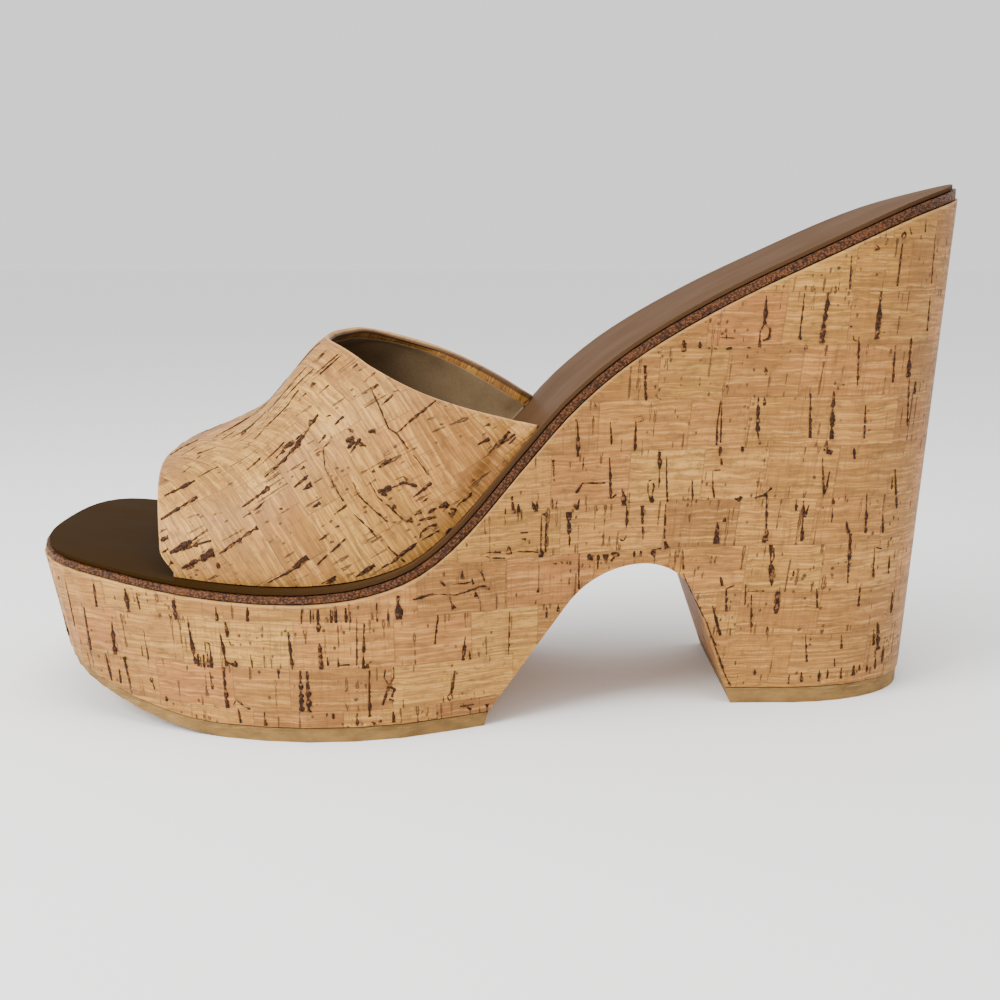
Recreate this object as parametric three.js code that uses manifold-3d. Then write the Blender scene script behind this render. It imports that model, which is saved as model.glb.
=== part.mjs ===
// A left platform mule: a cork-covered wedge on a block heel, a leather footbed, rubber treads and one wide
// cork band across the foot. Millimetres. -X is towards the toe, +X towards the heel, -Y is the outer side
// of the foot, +Y the inner side, and +Z is up. The origin is the middle of the forefoot's flat tread.

import * as THREE from "three";
import { mergeVertices } from "three/addons/utils/BufferGeometryUtils.js";
import Module from "manifold-3d";

// Lengths along the shoe
const footbedLength = 229;
const toeReach = 75; // from the origin forwards to the toe tip of the footbed
const toeUndercut = 5; // how far the tread's toe lies behind the footbed's toe
const heelUndercut = 9; // how far the tread's back lies ahead of the footbed's back

// Heights, to the top of the cork
const platformHeight = 32.3;
const heelHeight = 123.5;

// Widths of the footbed
const toeWidth = 78;
const ballWidth = 97;
const waistWidth = 70.5;
const heelWidth = 63;
const sideDraft = 6; // the most that the wedge narrows from the footbed down to the tread
const toeCornerOuter = 20; // length of the round corner of the toe, outer side
const toeCornerInner = 14;
const heelRound = 38; // length of the round end of the heel

// Roundness of a corner or section: 2 is round, more is squarer
const toeOuterRoundness = 2.5;
const toeInnerRoundness = 3.2;
const heelRoundness = 2;
const bandRoundness = 2.2;

// Treads
const forefootTread = 3.3;
const toeTread = 1.6;
const heelTread = 3.9;
const treadTuck = 0.3; // how far the rubber stands in from the side of the cork
const rollStart = 20; // from the origin forwards to where the tread starts to roll up
const rollRadius = 81; // of the roll where it starts

// The gap between the forefoot and the heel block
const forefootReach = 37.2; // from the origin back to the end of the forefoot tread
const treadEndLean = 1; // the foot of that end lies ahead of its top
const archHeight = 37;
const archFrontSlope = 53; // degrees
const archFrontRadius = 22.9;
const archBackSlope = 71;
const archBackRadius = 14.7;

// The footbed: a board with a wrapped edge, and a smooth sock on top
const boardAtToe = 1.3;
const boardAtHeel = 2.2;
const boardInset = 0.4; // from the side of the cork to the edge of the board
const sockThickness = 0.9;
const sockInset = 0.7; // from the edge of the board to the edge of the sock
const clearance = 0.3; // between pieces that meet

// The band
const bandWall = 1.9;
const bandMarginOuter = 5; // from the side of the cork to the band's foot
const bandMarginInner = 4.5;
const frontCrown = 45; // from the origin forwards to the band's front edge, over the toes
const frontSweep = 6; // how far that edge lies back at the sides
const frontCorner = 6; // radius of the corner where it reaches the footbed
const frontRoom = 22; // from the footbed up to the band's front edge
const instepRoom = 55.3; // from the footbed up to the highest point of its back edge
const toplineCrown = 2.5; // from the origin forwards to that point
const toplineReach = 48.5; // from the origin back to where the back edge meets the footbed
const toplineSagOuter = 2; // the outer half of the back edge dips under a straight line
const toplineRiseInner = 4.5; // and the inner half stands over it
const crownShift = 2; // the ridge of the band lies this far to the inner side

// Fineness of the surfaces
const outlineSteps = 40;
const profileSteps = 64;
const archSteps = 12;
const bandSteps = 22;
const bandColumns = 36;
const bandCrowding = 0.5; // how much closer together the columns stand at the band's feet
const searchRounds = 30;
const weldDistance = 1e-4;
const runOn = 10; // how far a cutting shape runs on past the piece

// Top of the cork in side view. along: share of the footbed's length, from the toe.
// rise: share of the heel's rise above the ball.
const topLine = [
  { along: 0.0, rise: 0.068 },
  { along: 0.087, rise: 0.039 },
  { along: 0.174, rise: 0.013 },
  { along: 0.261, rise: 0.0 },
  { along: 0.335, rise: 0.005 },
  { along: 0.387, rise: 0.029 },
  { along: 0.43, rise: 0.076 },
  { along: 0.474, rise: 0.171 },
  { along: 0.526, rise: 0.321 },
  { along: 0.578, rise: 0.465 },
  { along: 0.639, rise: 0.589 },
  { along: 0.726, rise: 0.715 },
  { along: 0.826, rise: 0.833 },
  { along: 0.926, rise: 0.942 },
  { along: 1.0, rise: 1.0 },
];

// Plan of the footbed. outer, inner: half widths, as shares of the named width that rules there.
const plan = [
  { along: 0.0, outer: 0.47, inner: 0.475, of: toeWidth },
  { along: 0.065, outer: 0.51, inner: 0.525, of: toeWidth },
  { along: 0.13, outer: 0.48, inner: 0.433, of: ballWidth },
  { along: 0.196, outer: 0.536, inner: 0.434, of: ballWidth },
  { along: 0.283, outer: 0.577, inner: 0.423, of: ballWidth },
  { along: 0.348, outer: 0.577, inner: 0.4, of: ballWidth },
  { along: 0.413, outer: 0.552, inner: 0.367, of: ballWidth },
  { along: 0.5, outer: 0.667, inner: 0.447, of: waistWidth },
  { along: 0.587, outer: 0.58, inner: 0.42, of: waistWidth },
  { along: 0.674, outer: 0.58, inner: 0.468, of: heelWidth },
  { along: 0.761, outer: 0.532, inner: 0.484, of: heelWidth },
  { along: 0.848, outer: 0.508, inner: 0.497, of: heelWidth },
  { along: 1.0, outer: 0.5, inner: 0.5, of: heelWidth },
];

// How far the tread stands in from the footbed, as shares of the side draft.
const draft = [
  { along: 0.0, outer: 0.35, inner: 0.35 },
  { along: 0.13, outer: 0.25, inner: 0.25 },
  { along: 0.28, outer: 0.08, inner: 0.17 },
  { along: 0.39, outer: 0.17, inner: 0.25 },
  { along: 0.5, outer: 0.6, inner: 0.5 },
  { along: 0.65, outer: 1.0, inner: 0.67 },
  { along: 0.76, outer: 1.0, inner: 0.67 },
  { along: 0.88, outer: 0.75, inner: 0.6 },
  { along: 1.0, outer: 0.58, inner: 0.58 },
];

// Ridge of the band in side view. along: share of the way from its front edge to its back edge.
// rise: share of the way from the front crown's height to the instep's. Past 1 the foot goes on up.
const ridgeLine = [
  { along: 0.0, rise: 0.0 },
  { along: 0.09, rise: 0.087 },
  { along: 0.236, rise: 0.178 },
  { along: 0.386, rise: 0.262 },
  { along: 0.518, rise: 0.35 },
  { along: 0.636, rise: 0.475 },
  { along: 0.75, rise: 0.656 },
  { along: 0.88, rise: 0.872 },
  { along: 1.0, rise: 1.0 },
  { along: 1.6, rise: 1.72 },
  { along: 2.4, rise: 2.5 },
];

const corkLook = { color: 0xc99f6c, roughness: 0.75 };
const boardLook = { color: 0x4a2a1a, roughness: 0.55 };
const sockLook = { color: 0x4d3520, roughness: 0.35 };
const rubberLook = { color: 0x8a6f3f, roughness: 0.7 };

const wasm = await Module();
wasm.setup();

const clamp = THREE.MathUtils.clamp;
const lerp = THREE.MathUtils.lerp;
const radians = THREE.MathUtils.degToRad;

// A smooth curve through a table's rows: valueOf gives a row's height over its place along.
function smoothTable(rows, valueOf) {
  const xs = rows.map((row) => row.along);
  const ys = rows.map(valueOf);
  const last = rows.length - 1;
  const slopes = xs.map((_, i) => {
    const before = Math.max(i - 1, 0);
    const after = Math.min(i + 1, last);
    return (ys[after] - ys[before]) / (xs[after] - xs[before]);
  });
  return (x) => {
    if (x <= xs[0]) return ys[0] + slopes[0] * (x - xs[0]);
    if (x >= xs[last]) return ys[last] + slopes[last] * (x - xs[last]);
    let i = 0;
    while (x > xs[i + 1]) i++;
    const span = xs[i + 1] - xs[i];
    const t = (x - xs[i]) / span;
    const rise = ys[i + 1] - ys[i];
    const a = slopes[i] * span - rise;
    const b = rise - slopes[i + 1] * span;
    return lerp(ys[i], ys[i + 1], t) + t * (1 - t) * (a * (1 - t) + b * t);
  };
}

const riseAt = smoothTable(topLine, (row) => row.rise);
const planAt = {
  outer: smoothTable(plan, (row) => row.outer * row.of),
  inner: smoothTable(plan, (row) => row.inner * row.of),
};
const draftAt = {
  outer: smoothTable(draft, (row) => row.outer * sideDraft),
  inner: smoothTable(draft, (row) => row.inner * sideDraft),
};
const ridgeAt = smoothTable(ridgeLine, (row) => row.rise);

// The end of an outline: 0 at the tip, 1 from the given length on, along a rounded corner.
function roundEnd(distance, length, power) {
  const t = clamp(distance / length, 0, 1);
  return (1 - (1 - t) ** power) ** (1 / power);
}

const toeCorner = { outer: toeCornerOuter, inner: toeCornerInner };
const toeRoundness = { outer: toeOuterRoundness, inner: toeInnerRoundness };

// Half width of the footbed or, with the draft, of the tread, at a share along it.
function halfWidth(side, along, drafted) {
  const width = planAt[side](along) - (drafted ? draftAt[side](along) : 0);
  const toe = roundEnd(along * footbedLength, toeCorner[side], toeRoundness[side]);
  const heel = roundEnd((1 - along) * footbedLength, heelRound, heelRoundness);
  return width * toe * heel;
}

const alongAt = (x) => (x + toeReach) / footbedLength;
const corkTop = (x) => platformHeight + (heelHeight - platformHeight) * riseAt(alongAt(x));

// A thickness square to the cork's top becomes this height, because the footbed slopes.
function upright(thickness, x) {
  const step = 1;
  const slope = (corkTop(x + step) - corkTop(x - step)) / (2 * step);
  return thickness * Math.hypot(1, slope);
}

const boardThickness = (x) => lerp(boardAtToe, boardAtHeel, clamp(alongAt(x), 0, 1));
const boardTop = (x) => corkTop(x) + upright(clearance + boardThickness(x), x);
const sockBottom = (x) => boardTop(x) + upright(clearance, x);
const sockTop = (x) => sockBottom(x) + upright(sockThickness, x);

// The underside rolls up towards the toe.
function treadBottom(x) {
  const ahead = Math.max(-rollStart - x, 0);
  return ahead ** 2 / (2 * rollRadius);
}

// The tread grows thinner over the roll.
function treadTop(x) {
  const rollLength = toeReach - toeUndercut - rollStart;
  const share = clamp((-rollStart - x) / rollLength, 0, 1);
  return treadBottom(x) + lerp(forefootTread, toeTread, share);
}

const archFront = radians(archFrontSlope);
const archBack = radians(archBackSlope);
const archFrontRise = archHeight - forefootTread - archFrontRadius * (1 - Math.cos(archFront));
const archPeak =
  forefootReach + archFrontRise / Math.tan(archFront) + archFrontRadius * Math.sin(archFront);

// A closed surface as a solid that can be joined and cut.
function solidOf(geometry) {
  const bare = geometry.index ? geometry.toNonIndexed() : geometry.clone();
  for (const name of Object.keys(bare.attributes)) {
    if (name !== "position") bare.deleteAttribute(name);
  }
  const merged = mergeVertices(bare, weldDistance);
  const mesh = new wasm.Mesh({
    numProp: 3,
    vertProperties: new Float32Array(merged.attributes.position.array),
    triVerts: new Uint32Array(merged.index.array),
  });
  return new wasm.Manifold(mesh);
}

function geometryOf(solid) {
  const mesh = solid.getMesh();
  const geometry = new THREE.BufferGeometry();
  geometry.setAttribute("position", new THREE.BufferAttribute(mesh.vertProperties, 3));
  geometry.setIndex(new THREE.BufferAttribute(mesh.triVerts, 1));
  return geometry;
}

function solidOfTriangles(triangles) {
  const points = triangles.flat().flatMap((point) => [point.x, point.y, point.z]);
  const geometry = new THREE.BufferGeometry();
  geometry.setAttribute("position", new THREE.Float32BufferAttribute(points, 3));
  return solidOf(geometry);
}

// The flat end inside one ring of points, facing up.
function flatEnd(points) {
  const flat = points.map((point) => new THREE.Vector2(point.x, point.y));
  const corners = THREE.ShapeUtils.triangulateShape(flat, []);
  return corners.map(([a, b, c]) => [points[a], points[b], points[c]]);
}

// Two rings of as many points each, joined by straight sides and closed by flat ends.
function prism(low, high) {
  const triangles = flatEnd(high);
  for (const [a, b, c] of flatEnd(low)) {
    triangles.push([a, c, b]);
  }
  low.forEach((point, i) => {
    const next = (i + 1) % low.length;
    triangles.push([point, low[next], high[next]]);
    triangles.push([point, high[next], high[i]]);
  });
  return solidOfTriangles(triangles);
}

// A slab of the given side view, across the whole shoe.
function slab(outline) {
  const shape = new THREE.Shape(outline.map(([x, z]) => new THREE.Vector2(x, z)));
  const breadth = 2 * ballWidth;
  const geometry = new THREE.ExtrudeGeometry(shape, { depth: breadth, bevelEnabled: false });
  geometry.translate(0, 0, -breadth / 2);
  geometry.rotateX(Math.PI / 2);
  return solidOf(geometry);
}

// A wall between two grids of points, closed all round.
function wall(outer, inner) {
  const triangles = [];
  const quad = (a, b, c, d) => triangles.push([a, b, c], [a, c, d]);
  const rows = outer.length - 1;
  const columns = outer[0].length - 1;
  for (let i = 0; i < rows; i++) {
    for (let j = 0; j < columns; j++) {
      quad(outer[i][j], outer[i + 1][j], outer[i + 1][j + 1], outer[i][j + 1]);
      quad(inner[i][j], inner[i][j + 1], inner[i + 1][j + 1], inner[i + 1][j]);
    }
  }
  for (let i = 0; i < rows; i++) {
    quad(outer[i][0], inner[i][0], inner[i + 1][0], outer[i + 1][0]);
    quad(outer[i][columns], outer[i + 1][columns], inner[i + 1][columns], inner[i][columns]);
  }
  for (let j = 0; j < columns; j++) {
    quad(outer[0][j], outer[0][j + 1], inner[0][j + 1], inner[0][j]);
    quad(outer[rows][j], inner[rows][j], inner[rows][j + 1], outer[rows][j + 1]);
  }
  return solidOfTriangles(triangles);
}

// Places along the outline, close together at the round ends.
function outlinePlaces() {
  const places = [];
  for (let i = 0; i <= outlineSteps; i++) {
    const even = i / outlineSteps;
    places.push(even - Math.sin(2 * Math.PI * even) / (2 * Math.PI));
  }
  return places;
}

// One ring round the shoe: back along the outer side from the toe, and forwards along the inner side.
function ring(pointOf) {
  const places = outlinePlaces();
  const inner = places.map((along) => pointOf("inner", along));
  const outer = places.slice(1, -1).map((along) => pointOf("outer", along));
  return [...outer, ...inner.reverse()];
}

function footbedPoint(side, along, inset) {
  const sign = side === "outer" ? -1 : 1;
  const shrink = (footbedLength - 2 * inset) / footbedLength;
  const x = -toeReach + inset + along * footbedLength * shrink;
  const y = sign * Math.max(halfWidth(side, along, false) - inset, 0);
  return new THREE.Vector2(x, y);
}

function treadPoint(side, along, inset) {
  const sign = side === "outer" ? -1 : 1;
  const length = footbedLength - toeUndercut - heelUndercut - 2 * inset;
  const x = -toeReach + toeUndercut + inset + along * length;
  const y = sign * Math.max(halfWidth(side, along, true) - inset, 0);
  return new THREE.Vector2(x, y);
}

// The whole wedge as straight lines from the footbed's outline down to the tread's, run on past both.
function wedgeBody(inset) {
  const at = (height) =>
    ring((side, along) => {
      const top = footbedPoint(side, along, inset);
      const foot = treadPoint(side, along, inset);
      const topHeight = corkTop(top.x);
      const footHeight = treadBottom(foot.x);
      const share = (height - footHeight) / (topHeight - footHeight);
      const place = foot.clone().lerp(top, share);
      return new THREE.Vector3(place.x, place.y, height);
    });
  return prism(at(-runOn), at(heelHeight + runOn));
}

// The footbed's outline, straight up.
function uprightBody(inset) {
  const at = (height) =>
    ring((side, along) => {
      const place = footbedPoint(side, along, inset);
      return new THREE.Vector3(place.x, place.y, height);
    });
  return prism(at(0), at(heelHeight + runOn));
}

// Side view between two heights over a stretch of the shoe.
function between(lowAt, highAt, from, to) {
  const low = [];
  const high = [];
  for (let i = 0; i <= profileSteps; i++) {
    const x = lerp(from, to, i / profileSteps);
    low.push([x, lowAt(x)]);
    high.push([x, highAt(x)]);
  }
  return [...low, ...high.reverse()];
}

// Side view of the gap under the waist: a slope up from the forefoot, two arcs that meet at the highest
// point, and a slope down to the heel.
function archOutline() {
  const outline = [
    [forefootReach - 2 * treadEndLean, -forefootTread],
    [forefootReach, forefootTread],
  ];
  for (let i = 0; i <= archSteps; i++) {
    const angle = Math.PI / 2 + archFront * (1 - i / archSteps);
    outline.push(archPoint(archFrontRadius, angle));
  }
  for (let i = 1; i <= archSteps; i++) {
    const angle = Math.PI / 2 - archBack * (i / archSteps);
    outline.push(archPoint(archBackRadius, angle));
  }
  const [slopeX, slopeZ] = outline[outline.length - 1];
  outline.push([slopeX + (slopeZ + forefootTread) / Math.tan(archBack), -forefootTread]);
  return outline.reverse();
}

function archPoint(radius, angle) {
  return [archPeak + radius * Math.cos(angle), archHeight - radius + radius * Math.sin(angle)];
}

// The band's own surface. turn: -90 degrees at the outer foot, 0 at the ridge, 90 at the inner foot.
function bandFoot(side, x) {
  const margin = side === "outer" ? bandMarginOuter : bandMarginInner;
  return halfWidth(side, alongAt(x), false) - margin;
}

const frontHeight = sockTop(-frontCrown) + frontRoom;
const instepHeight = sockTop(-toplineCrown) + instepRoom;

function ridgeHeight(x) {
  const along = (x + frontCrown) / (frontCrown - toplineCrown);
  return lerp(frontHeight, instepHeight, ridgeAt(along));
}

function bandPoint(x, turn) {
  const side = turn < 0 ? "outer" : "inner";
  const sign = Math.sign(turn);
  const half = bandFoot(side, x) - sign * crownShift;
  const foot = sockTop(x);
  const power = 2 / bandRoundness;
  const y = crownShift + sign * half * Math.abs(Math.sin(turn)) ** power;
  const z = foot + (ridgeHeight(x) - foot) * Math.max(Math.cos(turn), 0) ** power;
  return new THREE.Vector3(x, y, z);
}

// The front edge lies back at the sides and ends in a round corner on the footbed.
function bandFront(turn) {
  const swept = -frontCrown + frontSweep * Math.sin(turn) ** 2;
  const height = bandPoint(swept, turn).z - sockTop(swept);
  const low = clamp(1 - height / frontCorner, 0, 1);
  return swept + frontCorner * (1 - Math.sqrt(1 - low ** 2));
}

// The back edge in side view: a line from the crown down to the footbed, bowed on each side.
function toplineHeight(x, side) {
  const share = clamp((x + toplineCrown) / (toplineReach + toplineCrown), 0, 1);
  const bow = side === "outer" ? -toplineSagOuter : toplineRiseInner;
  const end = sockTop(toplineReach);
  return lerp(instepHeight, end, share) + bow * 4 * share * (1 - share);
}

// Where the band's surface comes out above that line.
function bandBack(turn) {
  const side = turn < 0 ? "outer" : "inner";
  let low = -toplineCrown;
  let high = toplineReach;
  for (let i = 0; i < searchRounds; i++) {
    const middle = (low + high) / 2;
    if (bandPoint(middle, turn).z < toplineHeight(middle, side)) low = middle;
    else high = middle;
  }
  return (low + high) / 2;
}

// Square to the surface, and level at the feet.
function bandNormal(x, turn) {
  const stepX = 0.5;
  const stepTurn = radians(1);
  if (Math.abs(turn) + stepTurn > Math.PI / 2) return new THREE.Vector3(0, Math.sign(turn), 0);
  const alongShoe = bandPoint(x + stepX, turn).sub(bandPoint(x - stepX, turn));
  const round = bandPoint(x, turn + stepTurn).sub(bandPoint(x, turn - stepTurn));
  return alongShoe.cross(round).normalize();
}

// From the even columns to their turns, closer together at the feet.
function bandTurn(column) {
  const even = (2 * column) / bandColumns - 1;
  return (Math.PI / 2) * (even + (bandCrowding * Math.sin(Math.PI * even)) / Math.PI);
}

function tucked(point) {
  return new THREE.Vector3(point.x, point.y, sockBottom(point.x));
}

// The band's two feet run on down through the sock.
function withFeet(row) {
  return [tucked(row[0]), ...row, tucked(row[row.length - 1])];
}

function makeBand() {
  const outer = [];
  const inner = [];
  for (let i = 0; i <= bandSteps; i++) {
    const outerRow = [];
    const innerRow = [];
    for (let j = 0; j <= bandColumns; j++) {
      const turn = bandTurn(j);
      const x = lerp(bandFront(turn), bandBack(turn), i / bandSteps);
      const point = bandPoint(x, turn);
      outerRow.push(point);
      innerRow.push(point.clone().addScaledVector(bandNormal(x, turn), -bandWall));
    }
    outer.push(withFeet(outerRow));
    inner.push(withFeet(innerRow));
  }
  return wall(outer, inner);
}

// The slot in the sock that one foot of the band stands in.
function bandSlot(side) {
  const sign = side === "outer" ? -1 : 1;
  const turn = (sign * Math.PI) / 2;
  const from = bandFront(turn) - 2 * clearance;
  const to = bandBack(turn) + 2 * clearance;
  const near = [];
  const far = [];
  for (let i = 0; i <= profileSteps; i++) {
    const x = lerp(from, to, i / profileSteps);
    const out = sign * (bandFoot(side, x) + clearance);
    const into = sign * (bandFoot(side, x) - bandWall - clearance);
    const low = sockBottom(x) - upright(clearance, x) / 2;
    const high = sockTop(x) + upright(sockThickness, x);
    near.push([new THREE.Vector3(x, out, low), new THREE.Vector3(x, out, high)]);
    far.push([new THREE.Vector3(x, into, low), new THREE.Vector3(x, into, high)]);
  }
  return side === "outer" ? wall(near, far) : wall(far, near);
}

const toeEnd = -toeReach - runOn;
const heelEnd = footbedLength - toeReach + runOn;

function makePlatform() {
  const underside = (x) => (x < archPeak ? treadTop(x) : heelTread) + clearance;
  return wedgeBody(0)
    .intersect(slab(between(underside, corkTop, -toeReach - clearance, heelEnd)))
    .subtract(slab(archOutline()));
}

function makeForefootTread() {
  return wedgeBody(treadTuck)
    .intersect(slab(between(treadBottom, treadTop, -toeReach, forefootReach)))
    .subtract(slab(archOutline()));
}

function makeHeelTread() {
  return wedgeBody(treadTuck)
    .intersect(slab(between(() => 0, () => heelTread, archPeak, heelEnd)))
    .subtract(slab(archOutline()));
}

function makeBoard() {
  const under = (x) => corkTop(x) + upright(clearance, x);
  return uprightBody(boardInset).intersect(slab(between(under, boardTop, toeEnd, heelEnd)));
}

function makeSock() {
  return uprightBody(boardInset + sockInset)
    .intersect(slab(between(sockBottom, sockTop, toeEnd, heelEnd)))
    .subtract(bandSlot("outer"))
    .subtract(bandSlot("inner"));
}

function piece(name, solid, look) {
  const material = new THREE.MeshStandardMaterial({ ...look, metalness: 0 });
  const mesh = new THREE.Mesh(geometryOf(solid), material);
  mesh.name = name;
  return mesh;
}

const sandal = new THREE.Group();
sandal.add(
  piece("platform", makePlatform(), corkLook),
  piece("forefoot_tread", makeForefootTread(), rubberLook),
  piece("heel_tread", makeHeelTread(), rubberLook),
  piece("footbed_board", makeBoard(), boardLook),
  piece("footbed_sock", makeSock(), sockLook),
  piece("upper_band", makeBand(), corkLook),
);

export default sandal;
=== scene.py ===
import math

import bmesh
import bpy
import numpy as np
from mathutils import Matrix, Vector
from mathutils.bvhtree import BVHTree


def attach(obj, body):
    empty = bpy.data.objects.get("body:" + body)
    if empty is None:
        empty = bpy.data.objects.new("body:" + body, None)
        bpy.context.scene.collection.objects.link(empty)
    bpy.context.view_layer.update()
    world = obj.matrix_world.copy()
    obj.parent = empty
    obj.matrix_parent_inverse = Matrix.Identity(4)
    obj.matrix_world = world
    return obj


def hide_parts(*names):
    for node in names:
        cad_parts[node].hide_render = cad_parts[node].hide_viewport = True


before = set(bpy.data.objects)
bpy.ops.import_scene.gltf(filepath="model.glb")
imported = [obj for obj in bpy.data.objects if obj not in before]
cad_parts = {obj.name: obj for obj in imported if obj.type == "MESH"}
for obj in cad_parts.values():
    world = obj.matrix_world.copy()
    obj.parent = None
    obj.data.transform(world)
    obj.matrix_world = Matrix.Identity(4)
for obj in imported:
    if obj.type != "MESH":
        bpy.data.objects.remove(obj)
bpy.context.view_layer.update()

MM = 0.001


# ---- Forefoot tread -------------------------------------------------------------------------
# A thin sheet of tan rubber, moulded and cemented under the forefoot, flush with the cork.
# It rolls up at the toe. Near the floor its edge is scuffed a little paler and dustier.

TREAD_ROUNDING = 0.35 * MM
TREAD_TAN, TREAD_CLOUD = (141, 107, 55), (108, 80, 39)
TREAD_DUST, TREAD_GRIT = (176, 146, 98), (84, 60, 30)
SCUFF_LOW, SCUFF_HIGH = 0.5, 3.5  # mm above the floor
MERGE_WITHIN = 2e-6
FLAT_TURN, HARD_TURN, SHARP_TURN = 4, 35, 40  # degrees between two faces


def shade(red, green, blue):
    """A screen colour, 0 to 255, as the linear colour that a shader wants."""
    parts = [c / 255 for c in (red, green, blue)]
    return tuple(p / 12.92 if p <= 0.04045 else ((p + 0.055) / 1.055) ** 2.4 for p in parts) + (1,)


def add_node(tree, kind, inputs=(), **settings):
    """A node with its settings made and its inputs joined to sockets or set to values."""
    node = tree.nodes.new(kind)
    for key, value in settings.items():
        setattr(node, key, value)
    for key, value in dict(inputs).items():
        if isinstance(value, bpy.types.NodeSocket):
            tree.links.new(value, node.inputs[key])
        else:
            node.inputs[key].default_value = value
    return node


class Finish:
    """One material in the making: each call adds nodes and gives back the socket they end in."""

    def __init__(self, name):
        self.material = bpy.data.materials.new(name)
        self.material.use_nodes = True
        self.tree = self.material.node_tree
        self.tree.nodes.clear()

    def place(self, width, depth, height, shift=(0, 0, 0)):
        """Object coordinates counted in grains of this width, depth and height in mm."""
        where = add_node(self.tree, "ShaderNodeTexCoord").outputs["Object"]
        grain = (1000 / width, 1000 / depth, 1000 / height)
        return add_node(self.tree, "ShaderNodeMapping",
                        {"Vector": where, "Location": shift, "Scale": grain}).outputs[0]

    def axis(self, number):
        """One object coordinate in mm: 0 is along the foot, from toe to heel, and 2 is up."""
        where = self.place(1, 1, 1)
        return add_node(self.tree, "ShaderNodeSeparateXYZ", {0: where}).outputs[number]

    def sheet(self):
        """The piece's own flat coordinates: along and across the sheet, in mm."""
        flat = add_node(self.tree, "ShaderNodeUVMap", uv_map="sheet").outputs[0]
        parts = add_node(self.tree, "ShaderNodeSeparateXYZ", {0: flat}).outputs
        return self.times(parts[0], 1000), self.times(parts[1], 1000)

    def carried(self, name):
        """A number that the mesh carries under this name."""
        return add_node(self.tree, "ShaderNodeAttribute", attribute_name=name).outputs["Fac"]

    def calc(self, operation, *values):
        return add_node(self.tree, "ShaderNodeMath", enumerate(values),
                        operation=operation).outputs[0]

    def times(self, first, second):
        return self.calc("MULTIPLY", first, second)

    def less(self, first, second):
        return self.calc("SUBTRACT", first, second)

    def triple(self, x, y, z):
        return add_node(self.tree, "ShaderNodeCombineXYZ", {0: x, 1: y, 2: z}).outputs[0]

    def noise(self, where, detail=3.0, rough=0.55):
        return add_node(self.tree, "ShaderNodeTexNoise", {
            "Vector": where, "Scale": 1.0, "Detail": detail, "Roughness": rough}).outputs["Fac"]

    def pebbles(self, where):
        """Round cells, about one in each unit of where."""
        return add_node(self.tree, "ShaderNodeTexVoronoi", {"Vector": where, "Scale": 1.0}).outputs

    def spread(self, value, low, high, start=0.0, end=1.0):
        """value between low and high, spread over start to end and held there beyond them."""
        return add_node(self.tree, "ShaderNodeMapRange", {
            "Value": value, "From Min": low, "From Max": high, "To Min": start, "To Max": end},
            interpolation_type="SMOOTHSTEP" if (start, end) == (0.0, 1.0) else "LINEAR").outputs[0]

    def mix(self, amount, first, second):
        return add_node(self.tree, "ShaderNodeMix", {0: amount, 6: first, 7: second},
                        data_type="RGBA").outputs[2]

    def close(self, colour, roughness, relief, depth, strength, specular):
        """Ends the material in its shader; depth is the height of the relief in metres."""
        bump = add_node(self.tree, "ShaderNodeBump",
                        {"Strength": strength, "Distance": depth, "Height": relief}).outputs[0]
        shader = add_node(self.tree, "ShaderNodeBsdfPrincipled", {
            "Base Color": colour, "Roughness": roughness, "Normal": bump,
            "Specular IOR Level": specular}).outputs[0]
        add_node(self.tree, "ShaderNodeOutputMaterial", {0: shader})
        return self.material


def fair_copy(node_name, rounding):
    """A merged copy of a CAD node's mesh, its hard edges rounded a little."""
    work = bmesh.new()
    work.from_mesh(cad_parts[node_name].data)
    bmesh.ops.remove_doubles(work, verts=work.verts, dist=MERGE_WITHIN)
    bmesh.ops.join_triangles(work, faces=work.faces, angle_face_threshold=math.radians(FLAT_TURN),
                             angle_shape_threshold=math.radians(180))
    hard = [e for e in work.edges
            if len(e.link_faces) == 2 and e.calc_face_angle(0) > math.radians(HARD_TURN)]
    bmesh.ops.bevel(work, geom=hard, offset=rounding, segments=3, profile=0.5, affect="EDGES",
                    clamp_overlap=True)
    return work


def smooth_mesh(work, name, sharp_turn):
    """Ends the worked mesh, shaded smooth but sharp where it turns by more degrees than this."""
    mesh = bpy.data.meshes.new(name)
    work.to_mesh(mesh)
    work.free()
    mesh.polygons.foreach_set("use_smooth", [True] * len(mesh.polygons))
    mesh.set_sharp_from_angle(angle=math.radians(sharp_turn))
    return mesh


def add_object(name, data):
    """An object of this data, linked to the scene."""
    thing = bpy.data.objects.new(name, data)
    bpy.context.scene.collection.objects.link(thing)
    return thing


def show(work, piece_name, node_name, material):
    """Turns the worked mesh into the piece that stands for the CAD node."""
    mesh = smooth_mesh(work, piece_name, SHARP_TURN)
    mesh.materials.append(material)
    piece = add_object(piece_name, mesh)
    piece.modifiers.new("even shading", "WEIGHTED_NORMAL").keep_sharp = True
    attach(piece, "root")
    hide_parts(node_name)


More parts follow.
